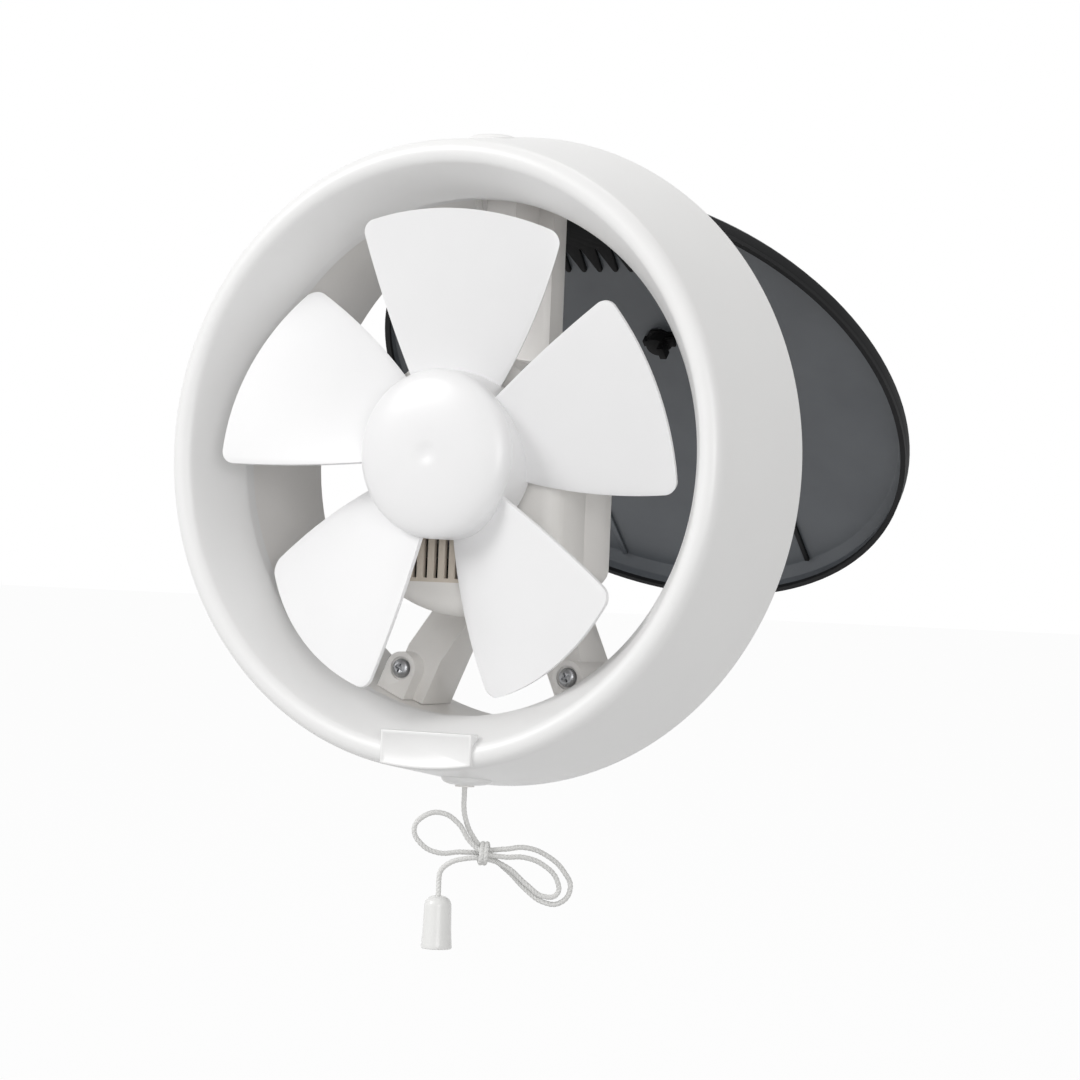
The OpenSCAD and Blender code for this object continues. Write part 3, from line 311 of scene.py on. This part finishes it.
finishes = {
    # injection moulded ABS of the ring and its nameplate: satin white
    "ring_white": moulded("mouldedWhiteAbs", "F5F5F5", "F3F3F3", 0.33),
    # the same plastic, a little warmer and duller, in the duct, the bracket and the small white parts
    "duct_white": moulded("warmWhiteAbs", "F3F1EF", "F0EEEB", 0.4),
    # glossier ABS with a smooth face, as fan blades have
    "blade_white": moulded("bladeWhiteAbs", "F5F5F6", "F2F2F3", 0.3, grain=1.2, relief=0.005),
    # the gasket's foam: light grey, its pores darkened with painted shade
    "grey_foam": spongeMaterial("greyFoam", "B9B9B8", "8C8C8B", 1.1),
    # bright zinc plating on the screws, pins and springs
    "steel": metalMaterial("zincPlatedSteel", "C9CACC", "9C9EA2", 0.3),
    # cream coloured polypropylene of the switch box and the terminals: duller than the ABS
    "cream_plastic": moulded("creamPolypropylene", "DAD2C6", "D3CABD", 0.5, grain=0.8, relief=0.012),
    # the stack of steel sheets in the stator and the rotor: grey bands
    "core_steel": bandedMetal("laminatedSteel", "8E9097", "5E6066", 0.42, 1.0, "BANDS", 0.12),
    # enamelled wire of the stator's coils: shiny orange rings, with painted shade as dark gaps between them
    "copper_wire": bandedMetal("enamelledCopperWire", "C77B45", "7E4220", 0.32, 0.8, "RINGS", 0.25),
    # sintered bronze of the bearings: dull and yellow
    "bronze": metalMaterial("sinteredBronze", "BE9A5C", "8F6F3B", 0.42, 0.5),
    # black polypropylene of the catch: matt; the hinge plate wears the same black as painted shadow, a black
    # sheet where the ring and bracket cast shade on the shutter
    "black_plastic": moulded("blackPolypropyleneAndShadow", "080809", "0C0C0D", 0.68,
                             grain=0.8, relief=0.012, ior=1.28),
    # soft PVC round the motor's lead: greyer and duller than the ABS
    "lead_white": moulded("softWhitePvc", "E4E3E0", "DCDAD6", 0.5, grain=1.0),
    # satin slate plastic of the shutter, with a slightly rough and mottled face
    "slate_plastic": moulded("slateAbs", "595D62", "52565B", 0.44, relief=0.014, mottle=40),
    # rubber of the shutter's rim, seal and rib: matt, a little lighter than the black plastic; on the
    # right-hand rib the black is partly painted shade, the dark line of a shaded groove
    "black_rubber": moulded("blackRubber", "0C0D0F", "121315", 0.66, grain=0.6, relief=0.02, ior=1.34),
    # acetal of the switch's cam: smooth and red
    "red_plastic": moulded("redAcetal", "B8402F", "A93625", 0.38),
    # the cord and its knot
    "cord_white": yarnMaterial("whitePolyesterYarn", "F6F6F5", "DEDEDC", 0.35),
    # the knob: the smoothest and glossiest of the white plastics
    "knob_white": moulded("glossyWhiteKnob", "F3F3F2", "EFEFEE", 0.26, grain=1.2, relief=0.004),
}
print("materials made,", len(finishes))


def dress(piece, slotName, body, replaced):
    piece.data.materials.clear()
    piece.data.materials.append(finishes[slotName])
    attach(piece, body)
    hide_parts(replaced)
    return piece


# the pull cord, its knot and its knob
pullCord = {"exit": (0, -23, -136.3), "turn": 29, "thickness": 2.2, "length": 293.1, "lay": 5.0, "lobes": 3,
            "groove": 0.2, "grooveShape": 0.7}
cordRoute = [
    (0, 0, 0), (0, 0, -3), (0, 0, -7), (1, 0, -12.5), (4, 0, -19), (9, 0, -24), (17, 0, -24), (26, 0, -23),
    (35, 0, -26), (42, 0, -32), (45, 0, -39), (41, 0, -45), (34, 1, -45), (27, 2, -40.5), (19, 2.5, -33),
    (10, 2.6, -27), (0, 2, -26), (-10, 0.5, -26.5), (-17, -0.5, -23), (-20, -1, -17), (-16, -2, -11.5),
    (-9, -2.2, -10), (-2, -2.4, -14), (3, -2.6, -21), (9, -2.6, -25.5), (17, -2, -27), (26, -1.2, -27),
    (34, -1, -30), (39.5, -1, -36), (39.5, -1, -41.5), (34, -1, -42.5), (27, -0.8, -38), (19, -0.4, -31.5),
    (10, 0, -28.3), (1, -0.8, -28.5), (-5, -1, -30.5), (-8.5, -1, -34), (-9, -1, -37), (-9, -1, -40.5),
    (-9, -1, -44)]


def bowPlace(point):
    # from the bow's own plane, which stands turned to the wall, to the frame
    turn = math.radians(pullCord["turn"])
    x, y, z = point
    bow = Vector((x * math.cos(turn) - y * math.sin(turn), x * math.sin(turn) + y * math.cos(turn), z))
    return bow + Vector(pullCord["exit"])


def laidSection(cordPlan):
    # the outline of strands laid together, as a closed flat curve that the cord is drawn with
    radius, groove = cordPlan["thickness"] / 2, cordPlan["groove"]
    curve = bpy.data.curves.new("strandOutline", "CURVE")
    curve.dimensions = "2D"
    spline = curve.splines.new("POLY")
    count = 24
    spline.points.add(count - 1)
    for i, point in enumerate(spline.points):
        angle = math.tau * i / count
        swell = abs(math.cos(angle * cordPlan["lobes"] / 2)) ** cordPlan["grooveShape"]
        reach = radius * (1 - groove + groove * swell)
        point.co = (reach * math.cos(angle) * mm, reach * math.sin(angle) * mm, 0, 1)
    spline.use_cyclic_u = True
    return linkNew("strandOutline", curve)


def laidCord(name, points, section, resolution):
    # a cord through the points, whose strands turn once for each lay length
    obj = roundTube(name, points, 0, 0, resolution)
    obj.data.bevel_mode = "OBJECT"
    obj.data.bevel_object = section
    spline = obj.data.splines[0]
    spline.tilt_interpolation = "LINEAR"
    run = 0
    for knot, before, p in zip(spline.bezier_points, points[:1] + points, points):
        run += (p - before).length
        knot.tilt = math.tau * run / pullCord["lay"]
    return meshFromCurve(obj)


knotShape = {"middle": (9, 0, -26), "turns": 2.4, "firstTurn": 0.1, "points": 26, "halfLength": 2.1,
             "halfHeight": 3.9, "halfWidth": 4.2, "endShare": 0.45, "tuckRate": 6}


def knotPoints(shape):
    # wraps round the cord, whose both ends go under the others
    x, y, z = shape["middle"]
    points = []
    for i in range(shape["points"]):
        t = i / (shape["points"] - 1)
        angle = math.tau * (shape["turns"] * t + shape["firstTurn"])
        tuck = min(1, shape["endShare"] + shape["tuckRate"] * min(t, 1 - t))
        points.append(bowPlace((x + shape["halfLength"] * (2 * t - 1),
                                y + shape["halfWidth"] * tuck * math.sin(angle),
                                z + shape["halfHeight"] * tuck * math.cos(angle))))
    return points


section = laidSection(pullCord)
cordPoints = [bowPlace(p) for p in cordRoute]
cord = laidCord("bowCord", cordPoints, section, 20)
knot = laidCord("bowKnot", knotPoints(knotShape), section, 12)
bpy.data.objects.remove(section)

# the knob's side goes from the shoulder to the foot and up inside, as (inwards, up) from the foot's corner
pullKnob = {"height": 21.6, "baseRadius": 6.4, "shoulder": 4.0, "holeRadius": 1.6, "holeDepth": 5.0,
            "hollow": 10,
            "side": [(0.5, 7), (0.15, 2), (0, 0.9), (0.12, 0.3), (0.5, 0.04), (0.9, 0), (1.7, 0), (1.9, 0.3),
                     (2.3, 9)]}


def makeKnob(plan):
    tall, hole, shoulder = plan["height"], plan["holeRadius"], plan["shoulder"]
    outline = [(hole - 0.4, -plan["holeDepth"]), (hole - 0.35, -0.5)]
    for i in range(15):
        t = math.radians(90 * i / 14)
        outline.append((hole + shoulder * math.sin(t), -shoulder * (1 - math.cos(t))))
    outline += [(plan["baseRadius"] - inwards, up - tall) for inwards, up in plan["side"]]
    outline += [(0, plan["hollow"] - tall), (0, -plan["holeDepth"])]
    piece = revolve("pullKnob", outline, 72)
    # it was turned about Y, and hangs along Z below the cord's end
    placeMesh(piece, Matrix.Translation(cordPoints[-1] * mm) @ Matrix.Rotation(math.radians(90), 4, "X"))
    smoothShade(piece, 40)
    return piece


dress(knot, "cord_white", "cord", "cord_knot")
knob = dress(makeKnob(pullKnob), "knob_white", "cord", "cord_knob")
dress(cord, "cord_white", "cord", "pull_cord")
print("cord, knot and knob made")


# the front ring and its pads, whose rounded edge is given as (inwards, down) from the pad's outer corner
frontRing = {"wallRadius": 135.5, "frontRadius": 128, "depth": 60.5, "edge": 5.5, "shell": 2.5, "throat": 106,
             "lipFront": -34, "lipBack": -29, "bellAngle": 60, "edgeSteps": 20, "bellSteps": 16,
             "padHeights": (133.6, 134.6), "padFoot": 126, "padRadius": 11, "padMiddle": -21,
             "padEdge": [(0, 3.2), (0.25, 2.4), (0.6, 1.7), (1.2, 1.15), (1.8, 0.8), (3.4, 0.2), (5, 0)],
             "cordHole": {"radius": 3, "length": 20, "middle": (0, -23, -134)}}


def shellSide(ring, inset):
    # half outline from the wall round the front edge and down the bell
    crestR = ring["frontRadius"] - ring["edge"]
    crestY = -(ring["depth"] - ring["edge"])
    slope = math.degrees(math.atan((ring["wallRadius"] - ring["frontRadius"]) / -crestY))
    turnTo = 90 + ring["bellAngle"]
    reach = ring["edge"] - inset
    points = [(ring["wallRadius"] - inset, 0)]
    for i in range(ring["edgeSteps"] + 1):
        a = math.radians(slope + (turnTo - slope) * i / ring["edgeSteps"])
        points.append((crestR + reach * math.cos(a), crestY - reach * math.sin(a)))
    start = points[-1]
    throat = ring["throat"] + inset
    pull = (throat, start[1] + (start[0] - throat) * math.tan(math.radians(ring["bellAngle"])))
    end = (throat, ring["lipFront"])
    for i in range(1, ring["bellSteps"] + 1):
        t = i / ring["bellSteps"]
        points.append(tuple((1 - t) ** 2 * start[k] + 2 * t * (1 - t) * pull[k] + t * t * end[k]
                            for k in (0, 1)))
    return points + [(throat, ring["lipBack"])]


def makeRing(ring):
    shell = revolve("frontRing", shellSide(ring, 0) + shellSide(ring, ring["shell"])[::-1], 240)
    # the core fills the ring to the middle of its shell
    skirt = ring["wallRadius"] - ring["shell"] / 2
    front = ring["frontRadius"] - ring["shell"] / 2
    crestY = -(ring["depth"] - ring["edge"])
    core = revolve("core", [(0, crestY), (front, crestY), (skirt, 0.5), (0, 0.5)], 240)
    radius, foot = ring["padRadius"], ring["padFoot"]
    for side, top in zip((1, -1), ring["padHeights"]):
        edge = [(radius - inwards, top - down) for inwards, down in ring["padEdge"]]
        pad = revolve("pad", [(0, foot), (radius, foot)] + edge + [(0, top)], 96)
        upright = Matrix.Rotation(math.radians(90 * side), 4, "X")
        placeMesh(pad, Matrix.Translation((0, ring["padMiddle"] * mm, 0)) @ upright)
        # the pad stays on the outside of the shell: its inner part is cut off along the core
        finishModifier(pad, "BOOLEAN", operation="DIFFERENCE", solver="MANIFOLD", object=core)
        finishModifier(shell, "BOOLEAN", operation="UNION", solver="MANIFOLD", object=pad)
        bpy.data.objects.remove(pad)
    bpy.data.objects.remove(core)
    hole = ring["cordHole"]
    clearSelection()
    bpy.ops.mesh.primitive_cylinder_add(vertices=48, radius=hole["radius"] * mm, depth=hole["length"] * mm,
                                        location=Vector(hole["middle"]) * mm)
    drill = bpy.context.object
    finishModifier(shell, "BOOLEAN", operation="DIFFERENCE", solver="MANIFOLD", object=drill)
    bpy.data.objects.remove(drill)
    smoothShade(shell, 40)
    return shell


dress(makeRing(frontRing), "ring_white", "root", "front_ring")
print("front ring made")


# the blades, the hub and its cover
fan = {"count": 5, "tip": 100, "hub": 34.5, "hubShell": 2, "hubBack": -39, "hubFront": -57, "bore": 4,
       "boss": 9, "thick": 1.7, "corner": 5, "cornerShare": 0.25, "along": 44, "across": 28, "rounding": 0.55,
       "leadRoot": -55.2, "leadTip": -62.3, "rearRoot": -41.2, "rearTip": -37.5, "camber": 3,
       "rearAngles": (-16.5, -7.4), "leadAngles": (43, 39.4)}
hubDome = {"height": 9.5, "sidePower": 0.75, "topPower": 0.8, "steps": 48, "dimple": 0.9, "dimpleRadius": 5.5,
           "wall": 2, "boss": 7, "innerTo": 9, "bore": 4, "boreEnd": -65.2}


def between(pair, t):
    return pair[0] * (1 - t) + pair[1] * t


def bladePoint(plan, r, u):
    # r goes from the hub to the tip in mm, and u from the rear edge, 0, to the leading edge, 1
    root = plan["hub"] - plan["hubShell"] / 2
    t = (r - root) / (plan["tip"] - root)
    start = plan["tip"] - plan["corner"]
    cut = 0 if r <= start else plan["corner"] - math.sqrt(max(0, plan["corner"] ** 2 - (r - start) ** 2))
    trim = math.degrees(cut / r)
    low, high = between(plan["rearAngles"], t), between(plan["leadAngles"], t)
    angle = between((low + trim, high - trim), u)
    w = (angle - low) / (high - low)
    rear = between((plan["rearRoot"], plan["rearTip"]), t)
    lead = between((plan["leadRoot"], plan["leadTip"]), t)
    y = between((rear, lead), w) - plan["camber"] * 4 * w * (1 - w) * t
    a = math.radians(angle)
    return Vector((r * math.cos(a), y, r * math.sin(a))) * mm


def makeBlade(plan):
    clearSelection()
    bpy.ops.mesh.primitive_grid_add(x_subdivisions=plan["along"], y_subdivisions=plan["across"], size=2)
    blade = bpy.context.object
    root = plan["hub"] - plan["hubShell"] / 2
    start = plan["tip"] - plan["corner"]
    straight = 1 - plan["cornerShare"]
    for v in blade.data.vertices:
        s, u = (v.co.x + 1) / 2, (v.co.y + 1) / 2
        if s <= straight:
            r = root + (start - root) * s / straight
        else:
            r = start + plan["corner"] * math.sin(math.pi / 2 * (s - straight) / plan["cornerShare"])
        v.co = bladePoint(plan, min(r, plan["tip"] - 0.01), u)
    finishModifier(blade, "SOLIDIFY", thickness=plan["thick"] * mm, offset=0)
    finishModifier(blade, "BEVEL", width=plan["rounding"] * mm, segments=3, limit_method="ANGLE",
                   angle_limit=math.radians(50))
    pick(blade)
    bpy.ops.object.mode_set(mode="EDIT")
    bpy.ops.mesh.select_all(action="SELECT")
    bpy.ops.mesh.normals_make_consistent(inside=False)
    bpy.ops.object.mode_set(mode="OBJECT")
    return blade


def makeFan(plan):
    r, back, front, wall = (plan[k] for k in ("hub", "hubBack", "hubFront", "hubShell"))
    bore, boss = plan["bore"], plan["boss"]
    hub = revolve("bladedHub", [(r - wall, back), (r - 0.4, back), (r, back - 0.4), (r, front + 0.5),
                                (r - 0.5, front + 0.02), (r - 1.2, front), (bore, front), (bore, back),
                                (boss, back), (boss, front + wall), (r - wall, front + wall)], 144)
    blade = makeBlade(plan)
    copies = []
    for i in range(plan["count"]):
        one = linkNew("blade" + str(i), blade.data.copy())
        placeMesh(one, Matrix.Rotation(-math.tau / plan["count"] * i, 4, "Y"))
        copies.append(one)
    bpy.data.objects.remove(blade)
    joinInto(hub, copies)
    smoothShade(hub, 40)
    return hub


def makeDome(plan, dome):
    r, front, wall, bore = plan["hub"], plan["hubFront"], dome["wall"], dome["bore"]
    outer = []
    for i in range(dome["steps"] + 1):
        t = math.radians(90 * i / dome["steps"])
        radius = r * max(math.cos(t), 0) ** dome["sidePower"] if i < dome["steps"] else 0
        y = front - dome["height"] * math.sin(t) ** dome["topPower"]
        if radius < dome["dimpleRadius"]:
            y += dome["dimple"] * (0.5 + 0.5 * math.cos(math.pi * radius / dome["dimpleRadius"]))
        outer.append((radius, y))
    inner = [(x - wall, y + wall) for x, y in outer if x > dome["innerTo"] and y + wall < front]
    outline = outer + [(0, dome["boreEnd"]), (bore, dome["boreEnd"]), (bore, front), (dome["boss"], front),
                       (dome["boss"], inner[-1][1])] + inner[::-1] + [(r - wall, front)]
    piece = revolve("hubCover", outline, 144)
    smoothShade(piece, 50)
    return piece


dress(makeFan(fan), "blade_white", "rotor", "fan_blades")
dress(makeDome(fan, hubDome), "blade_white", "rotor", "spinner")
print("blades and hub made")


# pieces that keep the CAD's form with rounded edges: node, piece, edge in mm, its segments, slot, body
softened = [
    ("nameplate", "blankPlate", 0.7, 3, "ring_white", "root"),
    ("duct_body", "airDuct", 0.35, 2, "duct_white", "root"),
    ("rear_ring", "rearRing", 0.4, 2, "duct_white", "root"),
    ("motor_bracket", "motorBracket", 0.35, 2, "duct_white", "root"),
    ("shutter_disc", "shutterPan", 0.6, 3, "slate_plastic", "shutter"),
    ("shutter_strips", "faceRibs", 0.25, 2, "black_rubber", "shutter"),
    # the hinge plate is painted shadow: a black fingered sheet where shade falls on the shutter's top
    ("hinge_plate", "fingeredShadowPlate", 0.3, 2, "black_plastic", "shutter"),
    ("shutter_clip", "catchTongue", 0.4, 2, "black_plastic", "shutter"),
    ("shutter_latch", "catchPost", 0.4, 2, "black_plastic", "root"),
    ("switch_housing", "switchBox", 0.35, 2, "cream_plastic", "root"),
    ("terminal_block", "terminalStrip", 0.3, 2, "cream_plastic", "root"),
    ("run_capacitor", "runCapacitor", 0.8, 3, "black_plastic", "root"),
    ("bracket_screws", "bracketScrews", 0.12, 2, "steel", "root"),
    ("case_screws", "caseScrews", 0.1, 2, "steel", "root"),
    ("motor_cover", "motorCover", 0.3, 2, "duct_white", "root"),
]
pieces = {}
for nodeName, pieceName, edge, segments, slotName, body in softened:
    pieces[pieceName] = dress(softenedCopy(nodeName, pieceName, edge, segments), slotName, body, nodeName)
    print(" softened", pieceName)

# the shutter's hinge and the angle it stands open at, and the radius outside which its rim is black
shutterHinge = {"y": 39.4, "z": 125.4, "open": 47, "blackRim": 122.3}


def closedRadius(hinge, point):
    # how far a point of the open shutter lies from the fan's axis once the shutter is closed
    a = math.radians(hinge["open"])
    z = hinge["z"] - (point.y - hinge["y"]) * math.sin(a) + (point.z - hinge["z"]) * math.cos(a)
    return math.hypot(point.x, z)


def colourFaces(piece, slotName, chosen):
    piece.data.materials.append(finishes[slotName])
    for face in piece.data.polygons:
        if chosen(face.center / mm):
            face.material_index = len(piece.data.materials) - 1


colourFaces(pieces["shutterPan"], "black_rubber",
            lambda p: closedRadius(shutterHinge, p) > shutterHinge["blackRim"])
# the ribs left of the middle are slate; the rib right of it stays black, partly a real rib and partly painted
# shade in its groove
colourFaces(pieces["faceRibs"], "slate_plastic", lambda p: p.x < 0)


plateBorder = {"width": 0.7, "depth": 0.3}


def raiseBorder(plate, border):
    # the plate's face is sunk a little inside its border
    width, depth = border["width"] * mm, border["depth"] * mm
    pick(plate)
    face = max(plate.data.polygons, key=lambda p: -p.normal.y * p.area)
    for parts in (plate.data.vertices, plate.data.edges, plate.data.polygons):
        for part in parts:
            part.select = False
    face.select = True
    bpy.ops.object.mode_set(mode="EDIT")
    bpy.ops.mesh.select_mode(type="FACE")
    bpy.ops.mesh.inset(thickness=width, depth=0)
    bpy.ops.mesh.inset(thickness=depth, depth=-depth)
    bpy.ops.mesh.select_mode(type="VERT")
    bpy.ops.object.mode_set(mode="OBJECT")


raiseBorder(pieces["blankPlate"], plateBorder)

# the field of slots in the motor's cover is cream, darker and warmer than the white rest of the cover: partly
# a cream grille, partly painted shade from the hub and blades
coverGrille = {"halfWidth": 22.5, "middle": -34.9, "halfHeight": 16.9, "front": -34.6,
               "cream": "D6CCBF", "white": "F1EFEC"}


def coverMaterial(grille):
    # white moulded plastic whose slotted front is cream and darker: partly the grille's own colour, partly
    # painted shade
    material, shader, coords = newMaterial("whiteCoverCreamGrilleAndShade", 0.42)
    axes = addNode(material, "ShaderNodeSeparateXYZ", {0: coords})
    sideways = addNode(material, "ShaderNodeMath",
                       {0: axes.outputs["X"], 1: 0.0, 2: grille["halfWidth"] * mm}, operation="COMPARE")
    upright = addNode(material, "ShaderNodeMath",
                      {0: axes.outputs["Z"], 1: grille["middle"] * mm, 2: grille["halfHeight"] * mm},
                      operation="COMPARE")
    field = addNode(material, "ShaderNodeMath", {0: sideways.outputs[0], 1: upright.outputs[0]},
                    operation="MULTIPLY")
    front = addNode(material, "ShaderNodeMath", {0: axes.outputs["Y"], 1: grille["front"] * mm},
                    operation="LESS_THAN")
    mask = addNode(material, "ShaderNodeMath", {0: field.outputs[0], 1: front.outputs[0]},
                   operation="MULTIPLY")
    colour = addNode(material, "ShaderNodeMix",
                     {0: mask.outputs[0], 6: srgb(grille["white"]), 7: srgb(grille["cream"])},
                     data_type="RGBA")
    fine = addNode(material, "ShaderNodeTexNoise", {"Vector": coords, "Scale": 1000 / 0.9, "Detail": 2.0})
    bump = addNode(material, "ShaderNodeBump",
                   {"Height": fine.outputs["Fac"], "Strength": 0.4, "Distance": 0.01 * mm})
    setInputs(material, shader, {"Base Color": colour.outputs[2], "Normal": bump.outputs["Normal"]})
    return material


pieces["motorCover"].material_slots[0].material = coverMaterial(coverGrille)


# two torsion springs on the shutter's hinge: one leg lies on the open shutter, the other stands at the arm
hingeSpring = {"radius": 2.6, "wireRadius": 0.45, "pitch": 1.5, "turns": 6, "turnPoints": 8, "startX": 4,
               "legLength": 8, "legLift": 0.7, "armLeg": (4.2, 6.8)}


def springRoute(spring, hinge, side):
    y, z, r, count = hinge["y"], hinge["z"], spring["radius"], spring["turnPoints"]
    opened = math.radians(hinge["open"])
    leg, lift = spring["legLength"], spring["legLift"]
    points = [(side * spring["startX"], y + leg * math.sin(opened) + lift * math.cos(opened),
               z - leg * math.cos(opened) + lift * math.sin(opened))]
    steps = count * spring["turns"] + count // 2
    for i in range(steps + 1):
        a = math.pi if i == steps else math.tau * i / count + opened
        x = side * (spring["startX"] + spring["pitch"] * i / count)
        points.append((x, y + r * math.cos(a), z + r * math.sin(a)))
    return points + [(x, y - r, z + rise) for rise in spring["armLeg"]]


springs = []
for side in (-1, 1):
    route = springRoute(hingeSpring, shutterHinge, side)
    springs.append(meshFromCurve(roundTube("hingeSpring", route, hingeSpring["wireRadius"], 3, 5)))
joinInto(springs[0], springs[1:])
springs[0].name = "hingeSprings"
dress(springs[0], "steel", "root", "hinge_springs")

# the lead runs from the switch round the duct's outside and down the column into the motor's case
motorLead = {"x": -9.5, "y": -14, "ringRadius": 113.5, "exit": (10, -23, -118.2), "column": 17, "radius": 1.5,
             "ringFrom": -78, "ringStep": 6.25, "ringPoints": 28}


def leadPoints(plan):
    x, y, r, column = (plan[k] for k in ("x", "y", "ringRadius", "column"))
    exitX, exitY, exitZ = plan["exit"]
    points = [plan["exit"], (exitX + 3, exitY, exitZ), (exitX + 8, exitY + 4, exitZ + 1.5)]
    for i in range(plan["ringPoints"]):
        a = math.radians(plan["ringFrom"] + plan["ringStep"] * i)
        points.append((r * math.cos(a), y, r * math.sin(a)))
    points += [(-6, y, r), (-8.8, y, r - 0.3), (x, y, 110.8), (x, y, 105.8), (x, y + 3, 100.8), (x, 0, 97.8)]
    points += [(x, column - 3, 95.8)] + [(x, column, z) for z in (90.8, 72, 56, 44)] + [(x, column - 3, 37)]
    return points + [(x, 10, 36), (x, 6.8, 36)]


lead = meshFromCurve(roundTube("motorLead", leadPoints(motorLead), motorLead["radius"], 3, 4))
dress(lead, "lead_white", "root", "wiring_lead")
print("springs and lead made")

# CAD solids that only get their finish
kept = {
    "wall_gasket": "grey_foam", "ring_screws": "steel", "stator_core": "core_steel",
    "stator_coils": "copper_wire", "stator_screws": "steel", "rotor_core": "core_steel",
    "motor_shaft": "steel", "front_bearing": "bronze", "rear_bearing": "bronze", "drive_pin": "steel",
    "hub_washer": "steel", "shutter_seal": "black_rubber", "hinge_pin": "steel",
    "switch_cam": "red_plastic", "cam_pin": "steel", "cord_slider": "duct_white", "return_spring": "steel",
    "cord_bush": "duct_white", "cord_inner": "cord_white"}
for nodeName, slotName in kept.items():
    node = nodes[nodeName]
    if not node.material_slots:
        node.data.materials.append(finishes[slotName])
    for place in node.material_slots:
        place.material = finishes[slotName]
print("kept solids finished")


# floor, lamps and world, in metres
studio = {"floor": -0.285, "floorSize": 40, "floorColour": "CFCFCF", "floorGlow": 0.96, "ambient": 0.5}
lamps = {
    "keyLamp": {"place": (-1.5, -1.9, 1.3), "size": 1.2, "power": 31},
    "sideLamp": {"place": (1.4, -1.8, 0.1), "size": 1.0, "power": 12},
    "topLamp": {"place": (0.2, 0.6, 2.0), "size": 1.4, "power": 7},
}


def cameraShare(material):
    # 1 for the camera and for mirror and glass rays, so that they see the pale background
    path = addNode(material, "ShaderNodeLightPath", {})
    seen = addNode(material, "ShaderNodeMath",
                   {0: path.outputs["Is Camera Ray"], 1: path.outputs["Is Glossy Ray"]}, operation="MAXIMUM")
    return addNode(material, "ShaderNodeMath", {0: seen.outputs[0], 1: path.outputs["Is Transmission Ray"]},
                   operation="MAXIMUM").outputs[0]


def makeFloor(settings):
    clearSelection()
    bpy.ops.mesh.primitive_plane_add(size=settings["floorSize"], location=(0, 0, settings["floor"]))
    floor = bpy.context.object
    floor.name = "paleFloor"
    material, shader, _ = newMaterial("palePaper", 0.9, 1.4)
    setInputs(material, shader, {"Base Color": srgb(settings["floorColour"])})
    share = addNode(material, "ShaderNodeMath", {0: cameraShare(material), 1: settings["floorGlow"]},
                    operation="MULTIPLY")
    glow = addNode(material, "ShaderNodeEmission", {"Color": srgb("FFFFFF"), "Strength": 1.0})
    mix = addNode(material, "ShaderNodeMixShader",
                  {0: share.outputs[0], 1: shader.outputs[0], 2: glow.outputs[0]})
    setInputs(material, material.node_tree.nodes["Material Output"], {"Surface": mix.outputs[0]})
    floor.data.materials.append(material)


def makeWorld(settings):
    world = bpy.data.worlds.new("paleStudio")
    world.use_nodes = True
    bpy.context.scene.world = world
    world.node_tree.nodes.clear()
    soft = addNode(world, "ShaderNodeBackground", {"Color": srgb("FFFEFC"), "Strength": settings["ambient"]})
    white = addNode(world, "ShaderNodeBackground", {"Color": srgb("FFFFFF"), "Strength": 1.0})
    mix = addNode(world, "ShaderNodeMixShader",
                  {0: cameraShare(world), 1: soft.outputs[0], 2: white.outputs[0]})
    addNode(world, "ShaderNodeOutputWorld", {"Surface": mix.outputs[0]})


def addLamp(name, settings):
    # a square lamp that looks at the fan's middle
    clearSelection()
    bpy.ops.object.light_add(type="AREA", location=settings["place"])
    lamp = bpy.context.object
    lamp.name = name
    lamp.data.shape = "SQUARE"
    lamp.data.size = settings["size"]
    lamp.data.energy = settings["power"]
    lamp.rotation_euler = (-Vector(settings["place"])).to_track_quat("-Z", "Y").to_euler()


makeFloor(studio)
makeWorld(studio)
for lampName, settings in lamps.items():
    addLamp(lampName, settings)
print("studio made")

clearSelection()
